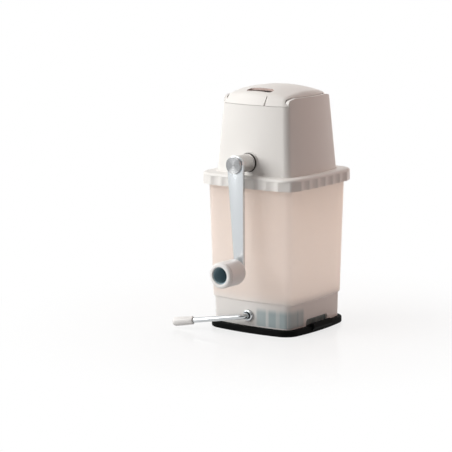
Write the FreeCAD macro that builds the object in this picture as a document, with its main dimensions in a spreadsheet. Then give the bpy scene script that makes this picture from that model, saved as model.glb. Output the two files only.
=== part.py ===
import FreeCAD, Part
import Sketcher
import math
import os

# A hand-cranked ice crusher on a suction foot, in millimetres.
# +Z is up and z = 0 is the table under the rubber pad, on the axis of the square cup.
# The crank stands on the -Y side and the lid is hinged on the +Y side.

Vector = FreeCAD.Vector
Rotation = FreeCAD.Rotation

doc = FreeCAD.newDocument("ice_crusher")
dim = doc.addObject("Spreadsheet::Sheet", "dim")
fit = doc.addObject("Spreadsheet::Sheet", "fit")

# ---------------------------------------------------------------- driving dimensions

SIZES = (
    # suction pad
    ("pad_half", 54.0, "half side of the rubber pad"),
    ("pad_bulge", 5.3, "bow of the pad's sides"),
    ("pad_corner", 18.7, "corner radius of the pad"),
    ("pad_thickness", 6.9, "thickness of the pad"),
    ("pad_edge", 1.4, "rounding of the pad's edges"),
    ("tab_width", 36.0, "width of the release tab"),
    ("tab_reach", 2.4, "reach of the tab past the pad's side"),
    ("tab_rise", 3.2, "rise of the tab above the pad"),
    # cup
    ("cup_height", 161.1, "cup from the pad to its rim"),
    ("foot_half", 49.2, "half side of the cup at the pad"),
    ("foot_top_half", 49.6, "half side of the foot at the step"),
    ("cup_step", 1.4, "step out of the cup above its foot"),
    ("step_rise", 2.0, "height of the slope of that step"),
    ("foot_height", 26.1, "height of the foot below the step"),
    ("rim_half", 54.0, "half side of the cup at its rim"),
    ("cup_bulge", 4.0, "bow of the cup's sides"),
    ("cup_corner", 8.0, "corner radius of the cup"),
    ("cup_wall", 2.2, "wall of the cup"),
    ("cup_floor", 4.4, "floor of the cup"),
    ("floor_lift", 1.2, "top of the floor above the foot, within the slope"),
    ("rim_edge", 0.7, "rounding of the cup's rim"),
    ("notch_width", 41.0, "width of the notch for the release tab"),
    ("notch_height", 7.6, "height of the notch"),
    ("notch_corner", 3.0, "corner radius of the notch"),
    # base insert
    ("insert_gap", 0.4, "gap between the insert and the foot"),
    ("insert_wall", 2.4, "wall of the insert"),
    ("insert_plate", 2.2, "top plate of the insert"),
    ("insert_ribs", 6, "ribs on each side of the insert"),
    ("insert_groove", 1.3, "depth between the insert's ribs"),
    ("insert_rib_width", 2.6, "width of the insert's ribs"),
    ("bearing_web", 4.0, "thickness of the webs that carry the lever"),
    ("bearing_web_half", 12.0, "half width of those webs"),
    ("bearing_span", 22.0, "distance between the webs"),
    # suction lever
    ("lever_height", 18.6, "height of the lever's axis"),
    ("rod_dia", 5.7, "diameter of the lever's rod"),
    ("rod_fit", 0.06, "radial clearance of the rod in its bearings"),
    ("bend_radius", 7.5, "bend of the rod's centre line"),
    ("bend_out", 9.0, "corner of the bend outside the foot"),
    ("lever_reach", 76.0, "rod from the bend to its end"),
    ("lever_splay", 15.0, "angle of the lever away from the cup"),
    ("lever_drop", 8.5, "angle of the lever below level"),
    ("grip_start", 59.0, "start of the grip from the bend"),
    ("grip_length", 24.0, "length of the grip"),
    ("grip_dia", 9.6, "diameter of the grip"),
    ("ferrule_dia", 12.6, "diameter of the ferrule's collar"),
    ("ferrule_reach", 3.0, "height of the collar on the foot"),
    ("ferrule_tube_dia", 9.4, "diameter of the ferrule's tube"),
    ("ferrule_bore_dia", 6.8, "bore of the ferrule"),
    ("ferrule_depth", 7.0, "length of the tube inside the foot"),
    ("clip_thickness", 0.8, "clip on the lever's inner end"),
    ("clip_dia", 9.4, "diameter of that clip"),
    ("clip_groove", 0.5, "depth of the clips' grooves"),
    ("clip_gap", 0.3, "float beside the clips"),
    ("web_drop", 6.5, "webs below the lever's axis"),
    ("press_gap", 0.03, "gap between pressed pieces and their seats"),
    ("cam_dia", 10.4, "diameter of the eccentric"),
    ("cam_throw", 1.8, "offset of the eccentric"),
    ("cam_width", 5.0, "width of the eccentric"),
    ("yoke_gap", 0.35, "clearance of the eccentric in the yoke"),
    ("yoke_bar", 2.0, "bars around the yoke's window"),
    ("stem_dia", 6.0, "stem of the pull stud"),
    ("flange_dia", 26.0, "flange of the stud in the pad"),
    ("flange_thickness", 2.0, "thickness of that flange"),
    ("flange_gap", 0.3, "gap around the flange in the pad"),
    # collar
    ("seat_gap", 0.3, "gap between the cup's rim and the collar's deck"),
    ("deck_thickness", 3.0, "deck of the collar"),
    ("skirt_depth", 13.1, "height of the collar's skirt"),
    ("collar_half", 60.9, "half side of the collar"),
    ("collar_bulge", 2.6, "bow of the collar's sides"),
    ("collar_corner", 17.0, "corner radius of the collar"),
    ("collar_edge", 3.2, "rounding of the collar's top edge"),
    ("collar_wall", 2.2, "wall of the skirt behind the flutes"),
    ("flutes", 8, "flutes on each side, corner to corner"),
    ("flute_depth", 1.2, "depth of a flute"),
    ("arris_width", 2.0, "flat between two flutes"),
    ("flute_stop", 3.2, "plain band above the flutes"),
    ("ring_gap", 0.7, "gap between the locating ring and the cup"),
    ("ring_wall", 2.0, "wall of the locating ring"),
    ("ring_depth", 6.0, "depth of the locating ring below the deck"),
    ("throat_half", 44.0, "half side of the opening in the deck"),
    ("throat_corner", 22.0, "corner radius of that opening"),
    # hopper
    ("hopper_height", 74.0, "hopper from the collar to the lid's seam"),
    ("hopper_foot_half", 47.3, "half side of the hopper at the collar"),
    ("hopper_top_half", 42.0, "half side of the hopper at the seam"),
    ("hopper_bulge", 5.6, "bow of the hopper's sides"),
    ("hopper_corner", 9.0, "corner radius of the hopper"),
    ("hopper_wall", 2.6, "wall of the hopper"),
    ("bead_height", 1.3, "height of the bead round the hopper's foot"),
    ("bead_reach", 0.8, "reach of that bead"),
    ("arch_rise", 8.2, "rise of the hopper's side arches over the seam"),
    ("arch_half", 39.3, "half span of the arches"),
    ("arch_shoulder", 5.8, "height of the arches' shoulders over the seam"),
    ("arch_shoulder_corner", 4.6, "corner radius of those shoulders"),
    ("arch_crest", 30.0, "half width of the arches' level crest"),
    ("arch_crest_corner", 12.0, "corner radius at the ends of the crest"),
    ("axis_rise", 13.5, "crank axis above the collar's deck"),
    ("boss_dia", 26.0, "bearing bosses inside the hopper"),
    ("boss_depth", 5.0, "depth of the bosses inside the wall"),
    # combs
    ("comb_angle", 35.4, "slope of the combs"),
    ("comb_offset", 10.6, "distance of the combs' upper face from the axis"),
    ("comb_thickness", 2.0, "sheet of the combs"),
    ("comb_half", 38.0, "half length of the combs"),
    ("comb_tip", 1.5, "start of the comb's fingers past the nearest point"),
    ("comb_reach", 44.0, "upper edge of the comb past the nearest point"),
    ("slot_gap", 1.4, "gap beside each toothed disc in the comb"),
    ("rib_at", 26.0, "place of the ribs that carry the combs"),
    ("rib_width", 7.0, "width of those ribs"),
    ("rib_depth", 15.0, "height of those ribs at the wall"),
    ("comb_screw_at", 36.0, "comb screws past the nearest point"),
    # rotor
    ("disc_count", 5, "toothed discs on the shaft"),
    ("disc_pitch", 16.0, "distance between the discs"),
    ("disc_thickness", 3.0, "thickness of a disc"),
    ("disc_core", 9.5, "radius of a disc between its teeth"),
    ("disc_tip", 17.0, "radius of a disc at its teeth"),
    ("disc_teeth", 4, "teeth on a disc"),
    ("disc_turn", 18.0, "turn from each disc to the next"),
    ("square_side", 8.0, "square of the shaft"),
    ("square_fit", 0.06, "gap between the square and what it drives"),
    ("spacer_dia", 13.0, "diameter of the spacers"),
    ("end_float", 0.4, "axial float of the rotor"),
    # shaft and bushings
    ("journal_dia", 12.0, "front journal of the shaft"),
    ("tail_dia", 8.0, "rear journal of the shaft"),
    ("journal_fit", 0.05, "radial clearance of the journals"),
    ("bushing_wall", 1.6, "wall of the bushings"),
    ("bushing_flange", 1.6, "thickness of the bushings' flanges"),
    ("bushing_flange_dia", 21.0, "diameter of the bushings' flanges"),
    ("arm_square", 7.5, "square of the shaft in the arm"),
    ("stud_dia", 6.0, "thread of the shaft in the cap"),
    ("circlip_dia", 12.0, "diameter of the rotor's circlip"),
    ("circlip_thickness", 1.0, "thickness of the circlip"),
    # crank
    ("hub_dia", 19.4, "diameter of the crank's hub"),
    ("hub_length", 20.0, "length of the hub"),
    ("washer_dia", 20.6, "diameter of the dark washer behind the hub"),
    ("washer_thickness", 1.0, "thickness of that washer"),
    ("washer_gap", 0.3, "gap between that washer and its seat"),
    ("washer_seat_dia", 22.6, "flat seat for the washer on the hopper"),
    ("washer_seat_rise", 0.8, "height of that seat at the shaft's axis"),
    ("arm_thickness", 4.0, "thickness of the arm"),
    ("arm_length", 113.0, "crank axis to knob axis"),
    ("arm_head", 10.2, "radius of the arm's head"),
    ("arm_end", 5.6, "radius of the arm's lower end"),
    ("arm_edge", 0.6, "rounding of the arm's edges"),
    ("arm_lean", 2.4, "lean of the hanging arm towards +X"),
    ("cap_dia", 18.6, "diameter of the cap"),
    ("cap_height", 3.6, "height of the cap"),
    ("cap_chamfer", 0.8, "chamfer of the cap"),
    # knob
    ("knob_dia", 28.0, "diameter of the knob"),
    ("knob_length", 32.2, "length of the knob"),
    ("knob_waist", 26.6, "diameter of the knob's groove"),
    ("groove_from_front", 3.6, "groove behind the knob's front"),
    ("groove_width", 1.0, "width of the groove"),
    ("knob_front_edge", 2.6, "rounding of the knob's front"),
    ("knob_back_edge", 6.5, "rounding of the knob's back"),
    ("knob_mouth_dia", 18.6, "opening in the knob's front"),
    ("knob_web", 9.0, "solid back of the knob round its bolt"),
    ("core_wall", 1.1, "wall of the lining in the knob"),
    ("knob_washer_dia", 15.0, "washer between knob and arm"),
    ("knob_washer_thickness", 2.0, "thickness of that washer"),
    ("knob_gap", 0.3, "axial float of the knob"),
    ("bolt_dia", 7.0, "shank of the knob's bolt"),
    ("bolt_neck_dia", 5.0, "rivet neck of the bolt in the arm"),
    ("bolt_fit", 0.06, "radial clearance of the knob on its bolt"),
    ("bolt_head_dia", 12.0, "head of the bolt"),
    ("bolt_head_height", 2.6, "height of that head"),
    ("rivet_dia", 9.0, "rivet head behind the arm"),
    ("rivet_height", 1.4, "height of the rivet head"),
    # lid
    ("lid_height", 18.8, "lid from the seam to its top"),
    ("lid_slope", 0.56, "inward slope of the lid's sides, per unit of height"),
    ("dome_radius", 145.0, "radius of the lid's dome"),
    ("lid_edge", 8.0, "rounding of the lid's shoulder"),
    ("lid_wall", 2.4, "thickness of the dome"),
    ("lid_hollow", 34.0, "radius of the hollow under the dome"),
    ("hollow_rise", 7.0, "square part of the hollow above the seam"),
    ("lid_gap", 0.4, "gap between the lid and the hopper"),
    ("rim_gap", 0.9, "gap between the lid's inner rim and the hopper"),
    ("rim_wall", 1.8, "wall of the lid's inner rim"),
    ("rim_depth", 3.0, "depth of the inner rim below the seam"),
    ("rim_top_corner", 20.0, "corner radius at the top of the inner rim"),
    ("scoop_half", 16.0, "half width of the finger scoop"),
    ("scoop_front", 36.0, "front edge of the scoop"),
    ("scoop_back", 25.8, "back edge of the scoop"),
    ("scoop_floor", 7.6, "floor of the scoop below the lid's top"),
    ("scoop_corner", 4.0, "corner radius of the scoop"),
    ("slit_at", 15.7, "slit beside the lid's latch"),
    ("slit_width", 2.0, "width of the slit at the seam"),
    ("slit_tip", 0.8, "width of the slit at its top"),
    ("slit_height", 10.3, "height of the slit above the seam"),
    # hinge
    ("knuckle_dia", 7.0, "diameter of the hinge's knuckles"),
    ("knuckle_gap", 0.5, "gap between the knuckles and the wall"),
    ("lid_knuckle", 27.0, "width of the lid's knuckle"),
    ("side_knuckle", 10.0, "width of the hopper's knuckles"),
    ("knuckle_space", 0.4, "gap between knuckles"),
    ("pin_dia", 3.0, "diameter of the hinge pin"),
    ("pin_fit", 0.08, "radial clearance of the pin"),
    ("hinge_drop", 1.0, "hinge axis below the seam"),
    # screws
    ("screw_dia", 3.0, "screws"),
    ("screw_head_dia", 5.6, "heads of the screws"),
    ("screw_head_height", 2.0, "height of the heads"),
    ("screw_fit", 0.05, "gap around the screws"),
    ("screw_recess", 1.4, "depth of the cross recess"),
    ("foot_screw_at", 33.0, "place of the foot's screws"),
    ("foot_screw_bite", 2.2, "length of those screws in the floor"),
    ("deck_screw_at", 40.0, "place of the deck's screws"),
    ("deck_screw_bite", 9.0, "length of those screws in the hopper"),
    ("gusset_inner", 35.5, "inner side of the hopper's screw gussets"),
    ("gusset_height", 12.0, "height of those gussets"),
    ("comb_screw_bite", 6.0, "length of the comb screws in the ribs"),
)

# Heights, diameters and places that follow from the driving dimensions.
FITS = (
    ("pad_top", "dim.pad_thickness"),
    ("lever_dx", "-cos(dim.lever_splay * 1deg) * cos(dim.lever_drop * 1deg)"),
    ("lever_dy", "-sin(dim.lever_splay * 1deg)"),
    ("lever_dz", "-cos(dim.lever_splay * 1deg) * sin(dim.lever_drop * 1deg)"),
    ("step_z", "fit.pad_top + dim.foot_height"),
    ("shoulder_z", "fit.step_z + dim.step_rise"),
    ("floor_z", "fit.step_z + dim.floor_lift"),
    ("floor_half", "dim.foot_top_half + dim.cup_step * dim.floor_lift / dim.step_rise"),
    ("floor_under", "fit.floor_z - dim.cup_floor"),
    ("rim_z", "fit.pad_top + dim.cup_height"),
    ("step_half", "dim.foot_top_half + dim.cup_step"),
    ("deck_under", "fit.rim_z + dim.seat_gap"),
    ("deck_z", "fit.deck_under + dim.deck_thickness"),
    ("skirt_z", "fit.deck_z - dim.skirt_depth"),
    ("seam_z", "fit.deck_z + dim.hopper_height"),
    ("arch_z", "fit.seam_z + dim.arch_rise"),
    ("axis_z", "fit.deck_z + dim.axis_rise"),
    ("taper", "(dim.hopper_foot_half - dim.hopper_top_half) / dim.hopper_height"),
    ("arch_top_half", "dim.hopper_top_half - fit.taper * dim.arch_rise"),
    ("axis_half", "dim.hopper_foot_half - fit.taper * dim.axis_rise"),
    ("face_y", "fit.axis_half + dim.hopper_bulge"),
    ("boss_y", "fit.face_y - dim.hopper_wall - dim.boss_depth"),
    ("insert_half", "dim.foot_half - dim.cup_wall - dim.insert_gap"),
    ("insert_under", "fit.floor_under - dim.insert_plate"),
    ("foot_slope", "(dim.foot_top_half - dim.foot_half) / dim.foot_height"),
    ("foot_face_y", "dim.foot_half + dim.cup_bulge + fit.foot_slope * (dim.lever_height - fit.pad_top)"),
    ("rod_bore", "dim.rod_dia / 2 + dim.rod_fit"),
    ("ferrule_y", "fit.foot_face_y + fit.foot_slope * dim.ferrule_dia / 2"),
    ("bend_y", "fit.foot_face_y + dim.bend_out"),
    ("clip_y", "fit.bearing_y + dim.bearing_web / 2 + dim.clip_gap"),
    ("rod_tail_y", "fit.clip_y + dim.clip_thickness + 1.5"),
    ("bearing_y", "dim.bearing_span / 2"),
    ("cam_side", "dim.cam_throw * sqrt(0.5)"),
    ("cam_z", "dim.lever_height - fit.cam_side"),
    ("window_high", "dim.cam_dia / 2 + dim.yoke_gap"),
    ("window_wide", "dim.cam_dia / 2 + dim.cam_throw + dim.yoke_gap"),
    ("flange_z", "fit.pad_top - dim.flange_thickness"),
    ("cup_slope", "(dim.rim_half - fit.step_half) / (fit.rim_z - fit.shoulder_z)"),
    ("ring_half", "dim.rim_half - dim.cup_wall - dim.ring_gap - fit.cup_slope * dim.ring_depth"),
    ("skirt_inner_half", "dim.collar_half - dim.flute_depth - dim.collar_wall"),
    ("front_bore", "dim.journal_dia / 2 + dim.journal_fit"),
    ("front_seat", "fit.front_bore + dim.bushing_wall"),
    ("rear_bore", "dim.tail_dia / 2 + dim.journal_fit"),
    ("rear_seat", "fit.rear_bore + dim.bushing_wall"),
    ("rear_depth", "dim.boss_depth + dim.hopper_wall / 3"),
    ("flange_face", "fit.boss_y - dim.bushing_flange"),
    ("rotor_half", "fit.flange_face - dim.end_float"),
    ("disc_span", "(dim.disc_count - 1) * dim.disc_pitch / 2"),
    ("spacer_length", "dim.disc_pitch - dim.disc_thickness"),
    ("end_spacer", "fit.rotor_half - fit.disc_span - dim.disc_thickness / 2"),
    ("rear_spacer", "fit.end_spacer - dim.circlip_thickness - dim.end_float"),
    ("tail_end", "fit.boss_y + dim.boss_depth"),
    ("screw_hole", "dim.screw_dia / 2 + dim.screw_fit"),
    ("seat_y", "fit.face_y + dim.washer_seat_rise"),
    ("hub_back", "fit.seat_y + dim.washer_gap + dim.washer_thickness"),
    ("arm_back", "fit.hub_back + dim.hub_length"),
    ("arm_front", "fit.arm_back + dim.arm_thickness"),
    ("knob_back", "fit.arm_front + dim.knob_washer_thickness + dim.knob_gap"),
    ("knob_front", "fit.knob_back + dim.knob_length"),
    ("knob_seat", "fit.knob_back + dim.knob_web"),
    ("bolt_seat", "fit.knob_seat + dim.core_wall + dim.knob_gap"),
    ("knob_x", "dim.arm_length * sin(dim.arm_lean * 1deg)"),
    ("knob_z", "fit.axis_z - dim.arm_length * cos(dim.arm_lean * 1deg)"),
    ("square_hole", "dim.square_side / 2 + dim.square_fit"),
    ("arm_hole", "dim.arm_square / 2 + dim.square_fit"),
    ("slot_radius", "dim.disc_tip + dim.slot_gap"),
    ("slot_root", "sqrt(fit.slot_radius * fit.slot_radius - dim.comb_offset * dim.comb_offset)"),
    ("slot_half", "dim.disc_thickness / 2 + dim.slot_gap"),
    ("comb_under_x", "(dim.comb_offset + dim.comb_thickness) * sin(dim.comb_angle * 1deg)"),
    ("comb_under_z", "fit.axis_z - (dim.comb_offset + dim.comb_thickness) * cos(dim.comb_angle * 1deg)"),
    ("comb_half_at", "dim.hopper_foot_half - fit.taper * 25"),
    ("rib_bow", "dim.hopper_bulge * (1 - (dim.rib_at / fit.comb_half_at) * (dim.rib_at / fit.comb_half_at))"),
    ("rib_root", "fit.comb_half_at + fit.rib_bow - dim.hopper_wall / 2"),
    ("knuckle_y", "dim.hopper_top_half + dim.hopper_bulge + dim.knuckle_dia / 2 + dim.knuckle_gap"),
    ("knuckle_z", "fit.seam_z - dim.hinge_drop"),
    ("lid_inner_half", "fit.arch_top_half - dim.hopper_wall - dim.rim_gap"),
    ("hollow_half", "fit.lid_inner_half - dim.rim_wall"),
    ("lid_top", "fit.seam_z + dim.lid_height"),
    ("blank_half", "dim.hopper_top_half - dim.lid_slope * (dim.lid_height + 2)"),
    ("lid_foot_z", "fit.seam_z + dim.lid_gap"),
    ("lid_foot_half", "dim.hopper_top_half - dim.lid_slope * dim.lid_gap"),
    ("hollow_z", "fit.seam_z + dim.hollow_rise"),
    ("rim_top_z", "fit.arch_z + 1.5 * dim.lid_gap"),
    ("rim_top_half", "dim.hopper_top_half - dim.lid_slope * (fit.rim_top_z - fit.seam_z) - 0.3"),
    ("rim_slope", "(fit.lid_inner_half - fit.rim_top_half) / (fit.rim_top_z - fit.rim_under)"),
    ("hollow_top_half", "fit.hollow_half - fit.rim_slope * (fit.hollow_z - fit.rim_under)"),
    ("rim_under", "fit.seam_z - dim.rim_depth"),
    ("scoop_z", "fit.lid_top - dim.scoop_floor"),
    ("pin_length", "dim.lid_knuckle + 2 * dim.knuckle_space + 2 * dim.side_knuckle"),
    ("inner_corner", "dim.hopper_corner - dim.hopper_wall"),
)


def fill_sheets():
    for row, (alias, value, note) in enumerate(SIZES, 1):
        dim.set(f"A{row}", note)
        dim.set(f"B{row}", str(value))
        dim.setAlias(f"B{row}", alias)
    doc.recompute()
    for row, (alias, formula) in enumerate(FITS, 1):
        fit.set(f"A{row}", alias.replace("_", " "))
        fit.setAlias(f"B{row}", alias)
        fit.set(f"B{row}", "=" + formula.replace("fit.", ""))
    doc.recompute()


def val(expression):
    """Number of an expression on the sheets."""
    result = dim.evalExpression(expression)
    return float(getattr(result, "Value", result))


# ---------------------------------------------------------------- helpers

def make_body(label):
    body = doc.addObject("PartDesign::Body", label)
    body.Label = label
    return body


def place(body, x="0", y="0", z="0", rotation=Rotation()):
    """Put a body at a point given by expressions, turned by a rotation."""
    body.Placement = FreeCAD.Placement(Vector(0, 0, 0), rotation)
    for name, expression in (("x", x), ("y", y), ("z", z)):
        body.setExpression(f"Placement.Base.{name}", expression)
    return body


def origin_plane(body, role):
    return next(item for item in body.Origin.OriginFeatures if item.Role == role)


def make_sketch(body, role="XY_Plane", offset="0"):
    """Sketch on an origin plane; offset moves it along the plane's normal (-Y for XZ)."""
    sketch = body.newObject("Sketcher::SketchObject", "Sketch")
    sketch.AttachmentSupport = [(origin_plane(body, role), "")]
    sketch.MapMode = "FlatFace"
    sketch.setExpression("AttachmentOffset.Base.z", offset)
    return sketch


def bind(sketch, kind, *ends, size):
    """Add a dimension whose value follows an expression."""
    index = sketch.addConstraint(Sketcher.Constraint(kind, *ends, val(size)))
    sketch.setExpression(f"Constraints[{index}]", size)


def pin_point(sketch, geometry, end, x, y):
    bind(sketch, "DistanceX", -1, 1, geometry, end, size=x)
    bind(sketch, "DistanceY", -1, 1, geometry, end, size=y)


def circle(sketch, radius, x="0", y="0"):
    disc = Part.Circle(Vector(val(x), val(y), 0), Vector(0, 0, 1), val(radius))
    index = sketch.addGeometry(disc)
    bind(sketch, "Radius", index, size=radius)
    pin_point(sketch, index, 3, x, y)


def arc_between(centre, start, end):
    """Counter-clockwise arc about centre from start to end."""
    radius = (start - centre).Length
    first = math.atan2(start.y - centre.y, start.x - centre.x)
    last = math.atan2(end.y - centre.y, end.x - centre.x)
    if last <= first:
        last += 2 * math.pi
    return Part.ArcOfCircle(Part.Circle(centre, Vector(0, 0, 1), radius), first, last)


def outline(sketch, corners, closed=True):
    """Wire through corners (x, y) or (x, y, radius), each an expression."""
    count = len(corners)
    places = [Vector(val(corner[0]), val(corner[1]), 0) for corner in corners]
    starts, ends, centres, turns = [], [], [], []
    for i, here in enumerate(places):
        back = (places[i - 1] - here).normalize()
        ahead = (places[(i + 1) % count] - here).normalize()
        radius = val(corners[i][2]) if len(corners[i]) > 2 else 0.0
        half = back.getAngle(ahead) / 2
        trim = radius / math.tan(half)
        ends.append(here + back * trim)
        starts.append(here + ahead * trim)
        centres.append(here + (back + ahead).normalize() * (radius / math.sin(half)))
        turns.append(back.cross(ahead).z < 0)
    sides = range(count if closed else count - 1)
    lines = [sketch.addGeometry(Part.LineSegment(starts[i], ends[(i + 1) % count])) for i in sides]
    if not closed:
        pin_point(sketch, lines[0], 1, *corners[0])
        pin_point(sketch, lines[-1], 2, *corners[-1])
    for i, corner in enumerate(corners):
        if not closed and i in (0, count - 1):
            continue
        before, after = lines[i - 1], lines[i]
        if len(corner) == 2:
            sketch.addConstraint(Sketcher.Constraint("Coincident", before, 2, after, 1))
            pin_point(sketch, after, 1, corner[0], corner[1])
            continue
        first, last = (ends[i], starts[i]) if turns[i] else (starts[i], ends[i])
        arc = sketch.addGeometry(arc_between(centres[i], first, last))
        tip = sketch.addGeometry(Part.Point(places[i]), True)
        pin_point(sketch, tip, 1, corner[0], corner[1])
        sketch.addConstraint(Sketcher.Constraint("PointOnObject", tip, 1, before))
        sketch.addConstraint(Sketcher.Constraint("PointOnObject", tip, 1, after))
        sketch.addConstraint(Sketcher.Constraint("Tangent", before, 2, arc, 1 if turns[i] else 2))
        sketch.addConstraint(Sketcher.Constraint("Tangent", arc, 2 if turns[i] else 1, after, 1))
        bind(sketch, "Radius", arc, size=corner[2])


def rectangle(sketch, x0, y0, x1, y1, corner=None):
    rounding = () if corner is None else (corner,)
    outline(sketch, [(x, y) + rounding for x, y in ((x0, y0), (x1, y0), (x1, y1), (x0, y1))])


def bow(half, bulge, corner):
    """Side radius, side centre, corner centre and side angle of a bowed square."""
    side_radius = (half * half + bulge * bulge) / (2 * bulge)
    side_centre = half + bulge - side_radius
    reach = side_radius - corner
    corner_centre = (side_centre + math.sqrt(2 * reach * reach - side_centre * side_centre)) / 2
    side_angle = math.atan2(corner_centre, corner_centre - side_centre)
    return side_radius, side_centre, corner_centre, side_angle


def bowed_square(sketch, half, bulge, corner):
    """Square with four bowed sides and four round corners; the arguments are expressions."""
    radius, centre, inner, angle = bow(val(half), val(bulge), val(corner))
    side_radius = f"(({half}) * ({half}) + ({bulge}) * ({bulge})) / (2 * ({bulge}))"
    side_centre = f"({half}) + ({bulge}) - {side_radius}"
    sides, corners = [], []
    for quarter in range(4):
        turn = quarter * math.pi / 2
        spin = Rotation(Vector(0, 0, 1), math.degrees(turn))
        side = Part.Circle(spin.multVec(Vector(centre, 0, 0)), Vector(0, 0, 1), radius)
        sides.append(sketch.addGeometry(Part.ArcOfCircle(side, turn - angle, turn + angle)))
        bend = Part.Circle(spin.multVec(Vector(inner, inner, 0)), Vector(0, 0, 1), val(corner))
        corners.append(sketch.addGeometry(Part.ArcOfCircle(bend, turn + angle, turn + math.pi / 2 - angle)))
    for quarter, (along_x, along_y) in enumerate(((1, 0), (0, 1), (-1, 0), (0, -1))):
        after = sides[(quarter + 1) % 4]
        sketch.addConstraint(Sketcher.Constraint("Tangent", sides[quarter], 2, corners[quarter], 1))
        sketch.addConstraint(Sketcher.Constraint("Tangent", corners[quarter], 2, after, 1))
        pin_point(sketch, sides[quarter], 3, f"{along_x} * ({side_centre})", f"{along_y} * ({side_centre})")
    for quarter in range(1, 4):
        sketch.addConstraint(Sketcher.Constraint("Equal", sides[0], sides[quarter]))
        sketch.addConstraint(Sketcher.Constraint("Equal", corners[0], corners[quarter]))
    bind(sketch, "Radius", sides[0], size=side_radius)
    bind(sketch, "Radius", corners[0], size=corner)


def extrude(body, sketch, length, kind="Pad", backwards=False, both_ways=False):
    """Pad or pocket along the sketch's normal; a pocket's own way is against the normal."""
    feature = body.newObject(f"PartDesign::{kind}", kind)
    feature.Profile = sketch
    feature.setExpression("Length", length)
    feature.Reversed = backwards
    if both_ways:
        feature.SideType = "Symmetric"
    return finish(body, feature)


def finish(body, feature):
    """Recompute a feature and check that it changed the solid in the way it should."""
    before = feature.BaseFeature.Shape.Volume if feature.BaseFeature else 0.0
    doc.recompute()
    change = feature.Shape.Volume - before
    cuts = any(word in feature.TypeId for word in ("Pocket", "Groove", "Subtractive", "Chamfer"))
    if not feature.isValid() or abs(change) < 1e-4 or (cuts and change > 0):
        raise RuntimeError(f"{body.Label}: {feature.Name} changed the volume by {change:.4f}")
    return feature


def pad(body, sketch, length, **options):
    return extrude(body, sketch, length, "Pad", **options)


def cut(body, sketch, length, **options):
    return extrude(body, sketch, length, "Pocket", **options)


def turn(body, sketch, kind="Revolution", axis="V_Axis"):
    feature = body.newObject(f"PartDesign::{kind}", kind)
    feature.Profile = sketch
    feature.ReferenceAxis = (sketch, [axis])
    feature.Angle = 360
    return finish(body, feature)


def loft(body, sketches, kind="AdditiveLoft"):
    feature = body.newObject(f"PartDesign::{kind}", kind)
    feature.Profile = sketches[0]
    feature.Sections = sketches[1:]
    feature.Ruled = True
    return finish(body, feature)


def bowed_loft(body, sections, bulge, kind="AdditiveLoft"):
    """Loft through bowed squares given as (height, half, corner radius)."""
    sketches = []
    for height, half, corner in sections:
        sketches.append(make_sketch(body, offset=height))
        bowed_square(sketches[-1], half, bulge, corner)
    return loft(body, sketches, kind)


def edges_where(feature, test):
    return [f"Edge{i}" for i, edge in enumerate(feature.Shape.Edges, 1) if test(edge)]


def level_at(z):
    """Test for an edge that lies wholly at one height."""
    return lambda edge: abs(edge.BoundBox.ZMin - z) < 1e-4 and abs(edge.BoundBox.ZMax - z) < 1e-4


def round_edges(body, test, radius, kind="Fillet"):
    base = body.Tip
    feature = body.newObject(f"PartDesign::{kind}", kind)
    feature.Base = (base, edges_where(base, test))
    feature.setExpression("Size" if kind == "Chamfer" else "Radius", radius)
    return finish(body, feature)


def copies(body, kind, originals, **settings):
    """Pattern or mirror of features, made the body's tip."""
    feature = body.newObject(f"PartDesign::{kind}", kind)
    feature.Originals = originals
    for name, setting in settings.items():
        setattr(feature, name, setting)
    body.Tip = feature
    return finish(body, feature)


def polar(body, originals, count, axis_sketch):
    return copies(body, "PolarPattern", originals, Axis=(axis_sketch, ["N_Axis"]), Occurrences=count)


def turned_piece(label, corners):
    """Solid of revolution about its own Z axis; corners are (radius, height) expressions."""
    body = make_body(label)
    profile = make_sketch(body, "XZ_Plane")
    outline(profile, corners)
    turn(body, profile)
    return body


def fluted_wire(half, bulge, corner, count, depth, land):
    """Bowed square whose sides are hollowed into flutes between narrow lands."""
    radius, centre, inner, angle = bow(half, bulge, corner)
    side_run = radius * angle
    corner_run = corner * (math.pi / 4 - angle)
    quarter = 2 * (side_run + corner_run)

    def point(run, inset=0.0):
        """Point at a run from the -45 degree corner, moved inwards by inset."""
        turns, run = divmod(run, quarter)
        if run < corner_run:
            heading = run / corner - math.pi / 4
            at = Vector(inner, -inner, 0)
            reach = corner
        elif run > corner_run + 2 * side_run:
            heading = angle + (run - corner_run - 2 * side_run) / corner
            at = Vector(inner, inner, 0)
            reach = corner
        else:
            heading = (run - corner_run) / radius - angle
            at = Vector(centre, 0, 0)
            reach = radius
        at += Vector(math.cos(heading), math.sin(heading), 0) * (reach - inset)
        return Rotation(Vector(0, 0, 1), 90 * turns).multVec(at)

    pitch = quarter / count
    edges = []
    for k in range(4 * count):
        start, end = k * pitch + land / 2, (k + 1) * pitch - land / 2
        edges.append(Part.Arc(point(start), point((start + end) / 2, depth), point(end)))
        edges.append(Part.LineSegment(point(end), point(end + land)))
    return edges


def flute(body, offset, length, half, bulge, corner, count, depth, land):
    """Cut flutes round a body by pocketing all that lies outside the fluted outline."""
    sketch = make_sketch(body, offset=offset)
    sketch.addGeometry(fluted_wire(*(val(size) for size in (half, bulge, corner)), int(val(count)),
                                   val(depth), val(land)))
    circle(sketch, f"2 * ({half})")
    return cut(body, sketch, length, backwards=True)


def square(sketch, half):
    rectangle(sketch, f"-({half})", f"-({half})", half, half)


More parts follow.
